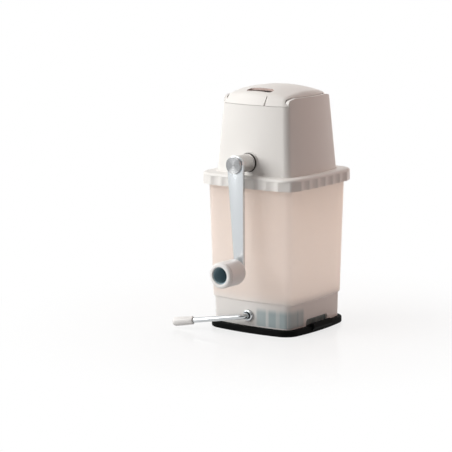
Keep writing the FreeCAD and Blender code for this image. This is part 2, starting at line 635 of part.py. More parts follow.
def strap(sketch, head, end, length):
    """Tapered bar with round ends, hanging from the origin along -Y."""
    big, small, run = val(head), val(end), val(length)
    lean = -math.asin((big - small) / run)
    low = Vector(0, -run, 0)
    side = Vector(math.cos(lean), math.sin(lean), 0)
    other = Vector(-side.x, side.y, 0)
    upper = sketch.addGeometry(arc_between(Vector(0, 0, 0), side * big, other * big))
    left = sketch.addGeometry(Part.LineSegment(other * big, low + other * small))
    lower = sketch.addGeometry(arc_between(low, low + other * small, low + side * small))
    right = sketch.addGeometry(Part.LineSegment(low + side * small, side * big))
    chain = (upper, left, lower, right)
    for first, last in zip(chain, chain[1:] + chain[:1]):
        sketch.addConstraint(Sketcher.Constraint("Tangent", first, 2, last, 1))
    bind(sketch, "Radius", upper, size=head)
    bind(sketch, "Radius", lower, size=end)
    pin_point(sketch, upper, 3, "0", "0")
    pin_point(sketch, lower, 3, "0", f"-({length})")


def dome_side(sketch, top, radius, reach, level):
    """Area between a dome's arc and a level line, out to reach from the axis."""
    centre = Vector(0, val(top) - val(radius), 0)
    out = val(reach)
    edge = centre + Vector(out, math.sqrt(val(radius) ** 2 - out ** 2), 0)
    peak = Vector(0, val(top), 0)
    far, near = Vector(out, val(level), 0), Vector(0, val(level), 0)
    arc = sketch.addGeometry(arc_between(centre, edge, peak))
    lines = [sketch.addGeometry(Part.LineSegment(*pair)) for pair in ((peak, near), (near, far), (far, edge))]
    chain = (arc, *lines)
    for first, last in zip(chain, chain[1:] + chain[:1]):
        sketch.addConstraint(Sketcher.Constraint("Coincident", first, 2, last, 1))
    pin_point(sketch, arc, 3, "0", f"({top}) - ({radius})")
    bind(sketch, "Radius", arc, size=radius)
    bind(sketch, "DistanceX", -1, 1, arc, 2, size="0")
    pin_point(sketch, lines[1], 1, "0", level)
    pin_point(sketch, lines[1], 2, reach, level)
    bind(sketch, "DistanceX", -1, 1, arc, 1, size=reach)


# ---------------------------------------------------------------- foot and cup

def suction_pad():
    body = make_body("suction_pad")
    plan = make_sketch(body)
    bowed_square(plan, "dim.pad_half", "dim.pad_bulge", "dim.pad_corner")
    pad(body, plan, "dim.pad_thickness")
    faces = (0.0, val("fit.pad_top"))
    round_edges(body, lambda edge: any(level_at(z)(edge) for z in faces), "dim.pad_edge")
    tab = make_sketch(body, "XZ_Plane")
    side = "dim.pad_half + dim.pad_bulge"
    tip = "fit.pad_top + dim.tab_rise"
    outline(tab, (
        (f"{side} - 6", "fit.pad_top / 2"),
        (f"{side} - 1", "dim.pad_edge"),
        (f"{side} + dim.tab_reach", "fit.pad_top - 1", "1"),
        (f"{side} + dim.tab_reach - 1", tip, "0.9"),
        (f"{side} - 3", tip, "0.9"),
        (f"{side} - 4", "fit.pad_top"),
    ))
    pad(body, tab, "dim.tab_width", both_ways=True)
    seat = make_sketch(body, offset="fit.pad_top")
    circle(seat, "dim.flange_dia / 2 + dim.flange_gap")
    cut(body, seat, "dim.flange_thickness")
    return body


def container():
    body = make_body("container")
    bulge, corner = "dim.cup_bulge", "dim.cup_corner"
    bowed_loft(body, (("fit.pad_top", "dim.foot_half", corner), ("fit.step_z", "dim.foot_top_half", corner),
                      ("fit.shoulder_z", "fit.step_half", corner), ("fit.rim_z", "dim.rim_half", corner)), bulge)
    wall, inner = "dim.cup_wall", "dim.cup_corner - dim.cup_wall"
    bowed_loft(body, (("fit.floor_z", f"fit.floor_half - {wall}", inner),
                      ("fit.shoulder_z", f"fit.step_half - {wall}", inner),
                      ("fit.rim_z", f"dim.rim_half - {wall}", inner)), bulge, "SubtractiveLoft")
    bowed_loft(body, (("fit.pad_top", f"dim.foot_half - {wall}", inner),
                      ("fit.floor_under", f"dim.foot_top_half - {wall}", inner)), bulge, "SubtractiveLoft")
    round_edges(body, level_at(val("fit.rim_z")), "dim.rim_edge")
    hole = make_sketch(body, "XZ_Plane", "fit.foot_face_y + 2")
    circle(hole, "dim.ferrule_tube_dia / 2", y="dim.lever_height")
    cut(body, hole, "dim.cup_wall + 5")
    notch = make_sketch(body, "YZ_Plane", "dim.foot_half + dim.cup_bulge + 2")
    top = "fit.pad_top + dim.notch_height"
    outline(notch, (
        ("-dim.notch_width / 2", "fit.pad_top - 2"),
        ("dim.notch_width / 2", "fit.pad_top - 2"),
        ("dim.notch_width / 2", top, "dim.notch_corner"),
        ("-dim.notch_width / 2", top, "dim.notch_corner"),
    ))
    cut(body, notch, "dim.cup_bulge + dim.cup_wall + 2")
    screw_holes(body, "fit.floor_under", "dim.foot_screw_at", "dim.foot_screw_bite + 0.4")
    return body


def screw_holes(body, level, at, depth):
    """Four holes upwards from a level, at the corners of a square."""
    hole = make_sketch(body, offset=level)
    circle(hole, "fit.screw_hole", at, at)
    first = cut(body, hole, depth, backwards=True)
    return polar(body, [first], 4, hole)


def base_insert():
    body = make_body("base_insert")
    bulge, corner = "dim.cup_bulge", "dim.cup_corner - dim.cup_wall - dim.insert_gap"
    block = make_sketch(body, offset="fit.pad_top")
    bowed_square(block, "fit.insert_half", bulge, corner)
    pad(body, block, "fit.floor_under - fit.pad_top")
    flute(body, "fit.pad_top", "fit.floor_under - fit.pad_top", "fit.insert_half", bulge, corner,
          "dim.insert_ribs", "dim.insert_groove", "dim.insert_rib_width")
    hollow = make_sketch(body, offset="fit.pad_top")
    bowed_square(hollow, "fit.insert_half - dim.insert_groove - dim.insert_wall", bulge, "dim.insert_wall")
    cut(body, hollow, "fit.insert_under - fit.pad_top", backwards=True)
    for side in ("", "-"):
        web = make_sketch(body, "XZ_Plane", f"{side}fit.bearing_y")
        rectangle(web, "-dim.bearing_web_half", "dim.lever_height - dim.web_drop",
                  "dim.bearing_web_half", "fit.insert_under + dim.insert_plate / 2")
        pad(body, web, "dim.bearing_web", both_ways=True)
    bore = make_sketch(body, "XZ_Plane")
    circle(bore, "fit.rod_bore", y="dim.lever_height")
    cut(body, bore, "dim.bearing_span + 2 * dim.bearing_web", both_ways=True)
    hole = make_sketch(body, "XZ_Plane", "fit.foot_face_y")
    circle(hole, "dim.ferrule_tube_dia / 2", y="dim.lever_height")
    cut(body, hole, "dim.cup_wall + dim.insert_wall + 6")
    screw_holes(body, "fit.insert_under", "dim.foot_screw_at", "dim.insert_plate")
    return body


FORWARD = Rotation(Vector(1, 0, 0), 90)
REARWARD = Rotation(Vector(1, 0, 0), -90)


def lever_ferrule():
    tube, bore = "dim.ferrule_tube_dia / 2 - dim.press_gap", "dim.ferrule_bore_dia / 2"
    collar = "dim.ferrule_dia / 2"
    body = turned_piece("lever_ferrule", (
        (bore, "-dim.ferrule_depth"), (tube, "-dim.ferrule_depth"), (tube, "0"), (collar, "0"),
        (collar, "dim.ferrule_reach", "1.3"), (bore, "dim.ferrule_reach", "0.8"),
    ))
    return place(body, y="-fit.ferrule_y", z="dim.lever_height", rotation=FORWARD)


def suction_lever():
    body = make_body("suction_lever")
    spine = make_sketch(body)
    outline(spine, (
        ("0", "fit.rod_tail_y"),
        ("0", "-fit.bend_y", "dim.bend_radius"),
        ("-dim.lever_reach * cos(dim.lever_splay * 1deg)",
         "-fit.bend_y - dim.lever_reach * sin(dim.lever_splay * 1deg)"),
    ), closed=False)
    section = make_sketch(body, "XZ_Plane", "-fit.rod_tail_y")
    circle(section, "dim.rod_dia / 2")
    rod = body.newObject("PartDesign::AdditivePipe", "AdditivePipe")
    rod.Profile = section
    rod.Spine = (spine, [])
    finish(body, rod)
    groove = make_sketch(body, "XZ_Plane", "-fit.clip_y")
    circle(groove, "dim.rod_dia")
    circle(groove, "dim.rod_dia / 2 - dim.clip_groove")
    cut(body, groove, "dim.clip_thickness + dim.press_gap")
    lean = Rotation(Vector(0, 1, 0), -val("dim.lever_drop"))
    return place(body, z="dim.lever_height", rotation=lean)


def lever_grip():
    outer, bore, end = "dim.grip_dia / 2", "dim.rod_dia / 2 + dim.press_gap", "dim.grip_length"
    depth = "dim.lever_reach - dim.grip_start + dim.press_gap"
    body = turned_piece("lever_grip", (
        ("0", end), ("0", depth), (bore, depth), (bore, "0"),
        (outer, "0", "1.2"), (outer, end, "2.6"),
    ))
    way = Vector(val("fit.lever_dx"), val("fit.lever_dy"), val("fit.lever_dz"))
    return place(body, "dim.grip_start * fit.lever_dx", "-fit.bend_y + dim.grip_start * fit.lever_dy",
                 "dim.lever_height + dim.grip_start * fit.lever_dz", Rotation(Vector(0, 0, 1), way))


def lever_cam():
    body = make_body("lever_cam")
    plan = make_sketch(body, "XZ_Plane")
    circle(plan, "dim.cam_dia / 2", "-fit.cam_side", "-fit.cam_side")
    circle(plan, "dim.rod_dia / 2 + dim.press_gap")
    pad(body, plan, "dim.cam_width", both_ways=True)
    return place(body, z="dim.lever_height")


def open_ring(label, inner, outer, thickness):
    """Spring clip: a flat ring with a gap, about its own Z axis."""
    body = make_body(label)
    plan = make_sketch(body)
    circle(plan, outer)
    circle(plan, inner)
    pad(body, plan, thickness)
    mouth = make_sketch(body)
    rectangle(mouth, f"-({inner}) * 0.7", "0", f"({inner}) * 0.7", f"({outer}) + 1")
    cut(body, mouth, thickness, backwards=True)
    return body


def lever_clip():
    body = open_ring("lever_clip", "dim.rod_dia / 2 - dim.clip_groove + dim.press_gap",
                     "dim.clip_dia / 2", "dim.clip_thickness")
    return place(body, y="fit.clip_y", z="dim.lever_height", rotation=REARWARD)


def pull_stud():
    body = make_body("pull_stud")
    yoke = make_sketch(body, "XZ_Plane")
    for wide, high in (("fit.window_wide + dim.yoke_bar", "fit.window_high + dim.yoke_bar"),
                       ("fit.window_wide", "fit.window_high")):
        rectangle(yoke, f"-({wide})", f"fit.cam_z - ({high})", wide, f"fit.cam_z + {high}")
    pad(body, yoke, "dim.cam_width", both_ways=True)
    stem = make_sketch(body, "XZ_Plane")
    outline(stem, (
        ("0", "fit.flange_z"), ("dim.flange_dia / 2", "fit.flange_z"), ("dim.flange_dia / 2", "fit.pad_top"),
        ("dim.stem_dia / 2", "fit.pad_top"),
        ("dim.stem_dia / 2", "fit.cam_z - fit.window_high - dim.yoke_bar / 2"),
        ("0", "fit.cam_z - fit.window_high - dim.yoke_bar / 2"),
    ))
    turn(body, stem)
    return body


# ---------------------------------------------------------------- collar and hopper

def collar():
    body = make_body("collar")
    half, bulge, corner = "dim.collar_half", "dim.collar_bulge", "dim.collar_corner"
    plan = make_sketch(body, offset="fit.skirt_z")
    bowed_square(plan, half, bulge, corner)
    pad(body, plan, "dim.skirt_depth")
    round_edges(body, level_at(val("fit.deck_z")), "dim.collar_edge")
    flute(body, "fit.skirt_z", "dim.skirt_depth - dim.flute_stop", half, bulge, corner,
          "dim.flutes", "dim.flute_depth", "dim.arris_width")
    inside = make_sketch(body, offset="fit.skirt_z")
    bowed_square(inside, "fit.skirt_inner_half", bulge, "dim.collar_corner - dim.flute_depth - dim.collar_wall")
    cut(body, inside, "dim.skirt_depth - dim.deck_thickness", backwards=True)
    locating = make_sketch(body, offset="fit.deck_under - dim.ring_depth")
    ring_corner = "dim.cup_corner - dim.cup_wall - dim.ring_gap"
    bowed_square(locating, "fit.ring_half", "dim.cup_bulge", ring_corner)
    bowed_square(locating, "fit.ring_half - dim.ring_wall", "dim.cup_bulge", f"{ring_corner} - dim.ring_wall")
    pad(body, locating, "dim.ring_depth")
    throat = make_sketch(body, offset="fit.deck_z")
    bowed_square(throat, "dim.throat_half", "dim.hopper_bulge", "dim.throat_corner")
    cut(body, throat, "dim.deck_thickness")
    screw_holes(body, "fit.deck_under", "dim.deck_screw_at", "dim.deck_thickness")
    return body


def comb_point(past):
    """Expressions of a point on the comb's underside, past the point nearest the shaft."""
    return (f"fit.comb_under_x + ({past}) * cos(dim.comb_angle * 1deg)",
            f"fit.comb_under_z + ({past}) * sin(dim.comb_angle * 1deg)")


def arch_corners(grow):
    """Corners of a side arch above the seam, from -Y to +Y; grow moves them outwards."""
    side, low = f"dim.arch_half + {grow}", f"fit.seam_z + dim.arch_shoulder + {grow}"
    crest, top = f"dim.arch_crest + {grow}", f"fit.arch_z + {grow}"
    shoulder, bend = f"dim.arch_shoulder_corner + {grow}", f"dim.arch_crest_corner + {grow}"
    return ((f"-({side})", low, shoulder), (f"-({crest})", top, bend), (crest, top, bend), (side, low, shoulder))


def hopper_shell(body):
    bulge = "dim.hopper_bulge"
    bowed_loft(body, (("fit.deck_z", "dim.hopper_foot_half", "dim.hopper_corner"),
                      ("fit.arch_z", "fit.arch_top_half", "dim.hopper_corner")), bulge)
    bead = make_sketch(body, offset="fit.deck_z")
    bowed_square(bead, "dim.hopper_foot_half + dim.bead_reach", bulge, "dim.hopper_corner + dim.bead_reach")
    pad(body, bead, "dim.bead_height")
    bowed_loft(body, (("fit.deck_z", "dim.hopper_foot_half - dim.hopper_wall", "fit.inner_corner"),
                      ("fit.arch_z", "fit.arch_top_half - dim.hopper_wall", "fit.inner_corner")),
               bulge, "SubtractiveLoft")
    side = "dim.hopper_top_half + dim.hopper_bulge + 2"
    above = "fit.arch_z + 2"
    trim = make_sketch(body, "YZ_Plane")
    outline(trim, (
        (f"-({side})", "fit.seam_z"), ("-dim.arch_half", "fit.seam_z"), *arch_corners("0"),
        ("dim.arch_half", "fit.seam_z"), (side, "fit.seam_z"), (side, above), (f"-({side})", above),
    ))
    cut(body, trim, f"2 * ({side})", both_ways=True)


def hopper_bearings(body):
    """Boss and seat for a bushing in the front and rear walls."""
    for side, backwards in (("", False), ("-", True)):
        boss = make_sketch(body, "XZ_Plane", f"{side}fit.boss_y")
        circle(boss, "dim.boss_dia / 2", y="fit.axis_z")
        pad(body, boss, "dim.boss_depth + dim.hopper_wall / 3", backwards=backwards)
    seat = make_sketch(body, "XZ_Plane", "fit.seat_y")
    circle(seat, "dim.washer_seat_dia / 2", y="fit.axis_z")
    pad(body, seat, "dim.washer_seat_rise + dim.hopper_wall / 3", backwards=True)
    front = make_sketch(body, "XZ_Plane", "fit.seat_y")
    circle(front, "fit.front_seat", y="fit.axis_z")
    cut(body, front, "fit.seat_y - fit.boss_y")
    rear = make_sketch(body, "XZ_Plane", "-fit.boss_y")
    circle(rear, "fit.rear_seat", y="fit.axis_z")
    cut(body, rear, "fit.rear_depth")


def comb_ribs(body):
    """Ribs inside the side walls with the combs' slope, and a screw hole in each."""
    inner_x, inner_z = comb_point("dim.comb_reach / 2")
    root_z = "fit.comb_under_z + (fit.rib_root - fit.comb_under_x) * tan(dim.comb_angle * 1deg)"
    features = []
    for side in ("", "-"):
        rib = make_sketch(body, "XZ_Plane", f"{side}dim.rib_at")
        outline(rib, ((inner_x, inner_z), (inner_x, f"{inner_z} - 2"),
                      ("fit.rib_root", f"{inner_z} - dim.rib_depth"), ("fit.rib_root", root_z)))
        features.append(pad(body, rib, "dim.rib_width", both_ways=True))
    holes = make_sketch(body)
    holes.AttachmentOffset = FreeCAD.Placement(Vector(0, 0, 0), Rotation(Vector(0, 1, 0), -val("dim.comb_angle")))
    holes.setExpression("AttachmentOffset.Base.x", "fit.comb_under_x")
    holes.setExpression("AttachmentOffset.Base.z", "fit.comb_under_z")
    for side in ("", "-"):
        circle(holes, "fit.screw_hole", "dim.comb_screw_at", f"{side}dim.rib_at")
    features.append(cut(body, holes, "dim.comb_screw_bite + 0.4"))
    copies(body, "Mirrored", features, MirrorPlane=(origin_plane(body, "YZ_Plane"), [""]))


def screw_gussets(body):
    """Solid corners at the hopper's foot for the screws from the deck."""
    corner = make_sketch(body, offset="fit.deck_z")
    reach = "dim.hopper_foot_half - dim.hopper_wall / 3"
    outline(corner, (("dim.gusset_inner", "dim.gusset_inner", "2"), (reach, "dim.gusset_inner"),
                     (reach, f"{reach} - 4"), (f"{reach} - 4", reach), ("dim.gusset_inner", reach)))
    gusset = pad(body, corner, "dim.gusset_height")
    hole = make_sketch(body, offset="fit.deck_z")
    circle(hole, "fit.screw_hole", "dim.deck_screw_at", "dim.deck_screw_at")
    bite = cut(body, hole, "dim.deck_screw_bite + 0.4", backwards=True)
    polar(body, [gusset, bite], 4, hole)


def hopper_hinge(body):
    """A knuckle on each side of the lid's, with a web down the rear wall."""
    inside = "dim.hopper_top_half + dim.hopper_bulge - dim.hopper_wall / 2"
    under = "fit.knuckle_z - dim.knuckle_dia / 2"
    start = "dim.lid_knuckle / 2 + dim.knuckle_space"
    web = make_sketch(body, "YZ_Plane", start)
    outline(web, ((inside, "fit.seam_z - 0.6"), (inside, f"{under} - 5"), ("fit.knuckle_y", under),
                  ("fit.knuckle_y", "fit.seam_z - 0.6")))
    knuckle = make_sketch(body, "YZ_Plane", start)
    circle(knuckle, "dim.knuckle_dia / 2", "fit.knuckle_y", "fit.knuckle_z")
    features = [pad(body, web, "dim.side_knuckle"), pad(body, knuckle, "dim.side_knuckle")]
    copies(body, "Mirrored", features, MirrorPlane=(origin_plane(body, "YZ_Plane"), [""]))
    bore = make_sketch(body, "YZ_Plane")
    circle(bore, "dim.pin_dia / 2 + dim.press_gap", "fit.knuckle_y", "fit.knuckle_z")
    cut(body, bore, "fit.pin_length + 4", both_ways=True)


def hopper_housing():
    body = make_body("hopper_housing")
    hopper_shell(body)
    hopper_bearings(body)
    comb_ribs(body)
    screw_gussets(body)
    hopper_hinge(body)
    return body


def ice_comb(label, side):
    """Sloping sheet whose fingers stand between the toothed discs; side is 1 or -1."""
    body = make_body(label)
    sheet = make_sketch(body)
    rectangle(sheet, "-dim.comb_half", "dim.comb_tip", "dim.comb_half", "dim.comb_reach")
    pad(body, sheet, "dim.comb_thickness")
    slot = make_sketch(body)
    rectangle(slot, "-fit.disc_span - fit.slot_half", "dim.comb_tip - 1",
              "-fit.disc_span + fit.slot_half", "fit.slot_root", "0.8")
    first = cut(body, slot, "dim.comb_thickness", backwards=True)
    copies(body, "LinearPattern", [first], Direction=(slot, ["H_Axis"]),
           Length=2 * val("fit.disc_span"), Occurrences=int(val("dim.disc_count")))
    holes = make_sketch(body)
    for end in ("", "-"):
        circle(holes, "fit.screw_hole", f"{end}dim.rib_at", "dim.comb_screw_at")
    cut(body, holes, "dim.comb_thickness", backwards=True)
    slope = math.radians(val("dim.comb_angle"))
    up = Vector(side * math.cos(slope), 0, math.sin(slope))
    normal = Vector(-side * math.sin(slope), 0, math.cos(slope))
    frame = Rotation(up.cross(normal), up, normal, "XYZ")
    return place(body, f"{side} * fit.comb_under_x", z="fit.comb_under_z", rotation=frame)


def front_bushing():
    bore, seat, flange = "fit.front_bore", "fit.front_seat - dim.press_gap", "dim.bushing_flange_dia / 2"
    end = "fit.seat_y - 0.2"
    body = turned_piece("front_bushing", (
        (bore, "fit.flange_face"), (flange, "fit.flange_face", "0.4"), (flange, "fit.boss_y"),
        (seat, "fit.boss_y"), (seat, end), (bore, end),
    ))
    return place(body, z="fit.axis_z", rotation=FORWARD)


def rear_bushing():
    bore, seat, flange = "fit.rear_bore", "fit.rear_seat - dim.press_gap", "dim.bushing_flange_dia / 2"
    end = "fit.boss_y + fit.rear_depth - dim.press_gap"
    body = turned_piece("rear_bushing", (
        (bore, "fit.flange_face"), (flange, "fit.flange_face", "0.4"), (flange, "fit.boss_y"),
        (seat, "fit.boss_y"), (seat, end), (bore, end),
    ))
    return place(body, z="fit.axis_z", rotation=REARWARD)


def screw_shape(length):
    """Pan-head screw with a cross recess; its head stands on z = 0 and its shank goes up."""
    radius, head, high = val("dim.screw_dia") / 2, val("dim.screw_head_dia") / 2, val("dim.screw_head_height")
    profile = Part.makePolygon([Vector(x, 0, z) for x, z in (
        (0, -high), (head * 0.7, -high), (head, -high * 0.4), (head, 0), (radius, 0),
        (radius, length - radius), (0, length), (0, -high))])
    solid = Part.Face(profile).revolve(Vector(0, 0, 0), Vector(0, 0, 1), 360)
    deep = val("dim.screw_recess")
    for long_x, long_y in ((1.2 * radius, 0.3 * radius), (0.3 * radius, 1.2 * radius)):
        slot = Part.makeBox(2 * long_x, 2 * long_y, deep, Vector(-long_x, -long_y, -high))
        solid = solid.cut(slot)
    return solid


def screws(label, length, placements):
    """Equal screws as one group of separate solids."""
    group = doc.addObject("Part::Feature", label)
    group.Label = label
    one = screw_shape(val(length))
    group.Shape = Part.makeCompound([one.transformed(placement.toMatrix()) for placement in placements])
    return group


def square_of_screws(label, level, at, length):
    reach = val(at)
    spots = [Vector(x * reach, y * reach, val(level)) for x in (-1, 1) for y in (-1, 1)]
    return screws(label, length, [FreeCAD.Placement(spot, Rotation()) for spot in spots])


def comb_screws():
    """Screws through the combs' upper faces into the hopper's ribs."""
    slope = math.radians(val("dim.comb_angle"))
    past, thick = val("dim.comb_screw_at"), val("dim.comb_thickness")
    places = []
    for side in (-1, 1):
        normal = Vector(-side * math.sin(slope), 0, math.cos(slope))
        up = Vector(side * math.cos(slope), 0, math.sin(slope))
        foot = Vector(side * val("fit.comb_under_x"), 0, val("fit.comb_under_z")) + up * past + normal * thick
        for end in (-1, 1):
            spot = foot + Vector(0, end * val("dim.rib_at"), 0)
            places.append(FreeCAD.Placement(spot, Rotation(Vector(0, 0, 1), normal * -1)))
    return screws("comb_screws", "dim.comb_thickness + dim.comb_screw_bite", places)


# ---------------------------------------------------------------- rotor and crank

def crank_frame():
    """Rotation of every crank piece: local Z points out to the front, local -Y down the arm."""
    return FORWARD.multiply(Rotation(Vector(0, 0, 1), val("dim.arm_lean")))


def on_shaft(body, along="0", turned=0.0):
    """Put a rotor or crank piece on the shaft's axis."""
    spin = crank_frame().multiply(Rotation(Vector(0, 0, 1), turned))
    return place(body, y=f"-({along})", z="fit.axis_z", rotation=spin)


def drive_shaft():
    body = make_body("drive_shaft")
    core = make_sketch(body, offset="-fit.rotor_half")
    square(core, "dim.square_side / 2")
    pad(body, core, "2 * fit.rotor_half")
    rounds = (("dim.journal_dia / 2", "fit.rotor_half", "fit.arm_back - fit.rotor_half"),
              ("dim.stud_dia / 2", "fit.arm_front", "dim.cap_height - 1.4"),
              ("dim.tail_dia / 2", "-fit.tail_end", "fit.tail_end - fit.rotor_half"))
    journal = make_sketch(body, offset=rounds[0][1])
    circle(journal, rounds[0][0])
    pad(body, journal, rounds[0][2])
    end = make_sketch(body, offset="fit.arm_back")
    square(end, "dim.arm_square / 2")
    pad(body, end, "dim.arm_thickness")
    for radius, start, length in rounds[1:]:
        step = make_sketch(body, offset=start)
        circle(step, radius)
        pad(body, step, length)
    groove = make_sketch(body, offset="-fit.rotor_half")
    circle(groove, "dim.tail_dia")
    circle(groove, "dim.tail_dia / 2 - dim.clip_groove")
    cut(body, groove, "dim.circlip_thickness + dim.press_gap", backwards=True)
    return on_shaft(body)


def toothed_disc(number):
    """Disc with hooked teeth; each next disc is turned a little further on the square."""
    body = make_body(f"crusher_disc_{number + 1}")
    thick, core, tip = "dim.disc_thickness", "dim.disc_core", "dim.disc_tip"
    hub = make_sketch(body)
    circle(hub, core)
    pad(body, hub, thick, both_ways=True)
    tooth = make_sketch(body)
    outline(tooth, (
        (f"-{core} * 0.62", f"{core} * 0.55"), (f"{core} * 0.72", f"{core} * 0.3"),
        (f"{tip} * 0.34", f"{tip} * 0.6", "3"), (f"{tip} * 0.2", f"{tip} * 0.97", "0.5"),
        (f"-{tip} * 0.07", f"{tip} * 0.99", "0.5"),
    ))
    first = pad(body, tooth, thick, both_ways=True)
    polar(body, [first], int(val("dim.disc_teeth")), tooth)
    turned = number * val("dim.disc_turn")
    hole = make_sketch(body)
    hole.AttachmentOffset = FreeCAD.Placement(Vector(0, 0, 0), Rotation(Vector(0, 0, 1), -turned))
    square(hole, "fit.square_hole")
    cut(body, hole, f"{thick} + 1", both_ways=True)
    return on_shaft(body, f"{number} * dim.disc_pitch - fit.disc_span", turned)


def spacer(label, start, length):
    body = make_body(label)
    plan = make_sketch(body)
    circle(plan, "dim.spacer_dia / 2")
    square(plan, "fit.square_hole")
    pad(body, plan, length)
    return on_shaft(body, start)


def rotor():
    """Toothed discs and spacers, from the rear end of the shaft to the front."""
    count = int(val("dim.disc_count"))
    pieces = [toothed_disc(number) for number in range(count)]
    rear = "-fit.rotor_half + dim.circlip_thickness + dim.end_float"
    pieces.append(spacer("rotor_spacer_1", rear, "fit.rear_spacer"))
    for number in range(count - 1):
        start = f"{number} * dim.disc_pitch - fit.disc_span + dim.disc_thickness / 2"
        pieces.append(spacer(f"rotor_spacer_{number + 2}", start, "fit.spacer_length"))
    front = "fit.disc_span + dim.disc_thickness / 2"
    pieces.append(spacer(f"rotor_spacer_{count + 1}", front, "fit.end_spacer"))
    return pieces


def crank_ring(label, outer, inner, start, end, edge):
    """Ring on the shaft's axis between two distances, with round outer edges."""
    body = turned_piece(label, ((inner, start), (outer, start, edge), (outer, end, edge), (inner, end)))
    return on_shaft(body)


def crank_arm():
    body = make_body("crank_arm")
    blank = make_sketch(body, offset="fit.arm_back")
    strap(blank, "dim.arm_head", "dim.arm_end", "dim.arm_length")
    pad(body, blank, "dim.arm_thickness")
    levels = (val("fit.arm_back"), val("fit.arm_front"))
    round_edges(body, lambda edge: any(level_at(z)(edge) for z in levels), "dim.arm_edge")
    holes = make_sketch(body, offset="fit.arm_back")
    square(holes, "fit.arm_hole")
    circle(holes, "dim.bolt_neck_dia / 2 + dim.press_gap", y="-dim.arm_length")
    cut(body, holes, "dim.arm_thickness", backwards=True)
    return on_shaft(body)


def crank_cap():
    outer, start, end = "dim.cap_dia / 2", "fit.arm_front", "fit.arm_front + dim.cap_height"
    hole, depth = "dim.stud_dia / 2 + dim.press_gap", "fit.arm_front + dim.cap_height - 1.3"
    body = turned_piece("crank_cap", (
        (hole, start), (outer, start), (outer, f"{end} - dim.cap_chamfer"), (f"{outer} - dim.cap_chamfer", end),
        (f"{outer} - 2 * dim.cap_chamfer", end), ("0", f"{end} - 0.5"), ("0", depth), (hole, depth),
    ))
    return on_shaft(body)


def on_knob_axis(body):
    return place(body, "fit.knob_x", z="fit.knob_z", rotation=crank_frame())


def knob_bolt():
    neck, shank, head = "dim.bolt_neck_dia / 2", "dim.bolt_dia / 2", "dim.bolt_head_dia / 2"
    rivet, back, top = "dim.rivet_dia / 2", "fit.arm_back - dim.rivet_height", "fit.bolt_seat + dim.bolt_head_height"
    body = turned_piece("knob_bolt", (
        ("0", back), (rivet, back, "1"), (rivet, "fit.arm_back"), (neck, "fit.arm_back"),
        (neck, "fit.arm_front"), (shank, "fit.arm_front"), (shank, "fit.bolt_seat"), (head, "fit.bolt_seat"),
        (head, top, "1.4"), ("0", top),
    ))
    return on_knob_axis(body)


def knob_washer():
    outer, inner = "dim.knob_washer_dia / 2", "dim.bolt_dia / 2 + dim.bolt_fit"
    end = "fit.arm_front + dim.knob_washer_thickness"
    body = turned_piece("knob_washer", (
        (inner, "fit.arm_front"), (outer, "fit.arm_front"), (outer, end, "0.3"), (inner, end)))
    return on_knob_axis(body)


def knob():
    hole, outer, waist = "dim.bolt_dia / 2 + dim.bolt_fit", "dim.knob_dia / 2", "dim.knob_waist / 2"
    mouth, back, front = "dim.knob_mouth_dia / 2", "fit.knob_back", "fit.knob_front"
    lip = f"{front} - dim.groove_from_front"
    body = turned_piece("knob", (
        (hole, back), (outer, back, "dim.knob_back_edge"), (outer, f"{lip} - dim.groove_width"),
        (waist, f"{lip} - dim.groove_width"), (waist, lip), (outer, lip),
        (outer, front, "dim.knob_front_edge"), (mouth, front, "0.8"), (mouth, "fit.knob_seat"),
        (hole, "fit.knob_seat"),
    ))
    return on_knob_axis(body)


def knob_lining():
    """Cup that lines the bore of the knob; the bolt's head bears on its floor."""
    hole, outer = "dim.bolt_dia / 2 + dim.bolt_fit", "dim.knob_mouth_dia / 2 - dim.press_gap"
    inner, floor, end = f"{outer} - dim.core_wall", "fit.knob_seat + dim.core_wall", "fit.knob_front - 1.4"
    body = turned_piece("knob_lining", (
        (hole, "fit.knob_seat"), (outer, "fit.knob_seat"), (outer, end), (inner, end), (inner, floor), (hole, floor)))
    return on_knob_axis(body)


# ---------------------------------------------------------------- lid

def lid_blank(body):
    """Tapered block under a shallow dome, with its shoulder rounded."""
    bowed_loft(body, (("fit.lid_foot_z", "fit.lid_foot_half", "dim.hopper_corner"),
                      ("fit.lid_top + 2", "fit.blank_half", "dim.hopper_corner")), "dim.hopper_bulge")
    above = make_sketch(body, "XZ_Plane")
    dome_side(above, "fit.lid_top", "dim.dome_radius", "1.6 * dim.hopper_top_half", "fit.lid_top + 5")
    turn(body, above, "Groove")
    centre = Vector(0, 0, val("fit.lid_top") - val("dim.dome_radius"))

    def on_dome(edge):
        middle = edge.valueAt((edge.FirstParameter + edge.LastParameter) / 2)
        return abs((middle - centre).Length - val("dim.dome_radius")) < 1e-3

    round_edges(body, on_dome, "dim.lid_edge")


def lid_inside(body):
    """Windows for the hopper's arches, the inner rim behind them and the hollow."""
    side, low = "dim.arch_half + dim.lid_gap", "fit.seam_z - 2"
    windows = make_sketch(body, "YZ_Plane")
    outline(windows, ((f"-({side})", low), *arch_corners("dim.lid_gap"), (side, low)))
    cut(body, windows, "4 * dim.hopper_top_half", both_ways=True)
    bulge, corner = "dim.hopper_bulge", "fit.inner_corner - dim.rim_gap"
    bowed_loft(body, (("fit.rim_under", "fit.lid_inner_half", corner),
                      ("fit.rim_top_z", "fit.rim_top_half", "dim.rim_top_corner")), bulge)
    bowed_loft(body, (("fit.rim_under", "fit.hollow_half", f"{corner} - dim.rim_wall"),
                      ("fit.hollow_z", "fit.hollow_top_half", "dim.rim_top_corner - dim.rim_wall")),
               bulge, "SubtractiveLoft")
    under = make_sketch(body, "XZ_Plane")
    dome_side(under, "fit.lid_top - dim.lid_wall", "dim.dome_radius - dim.lid_wall", "dim.lid_hollow",
              "fit.hollow_z - 1")
    turn(body, under, "Groove")


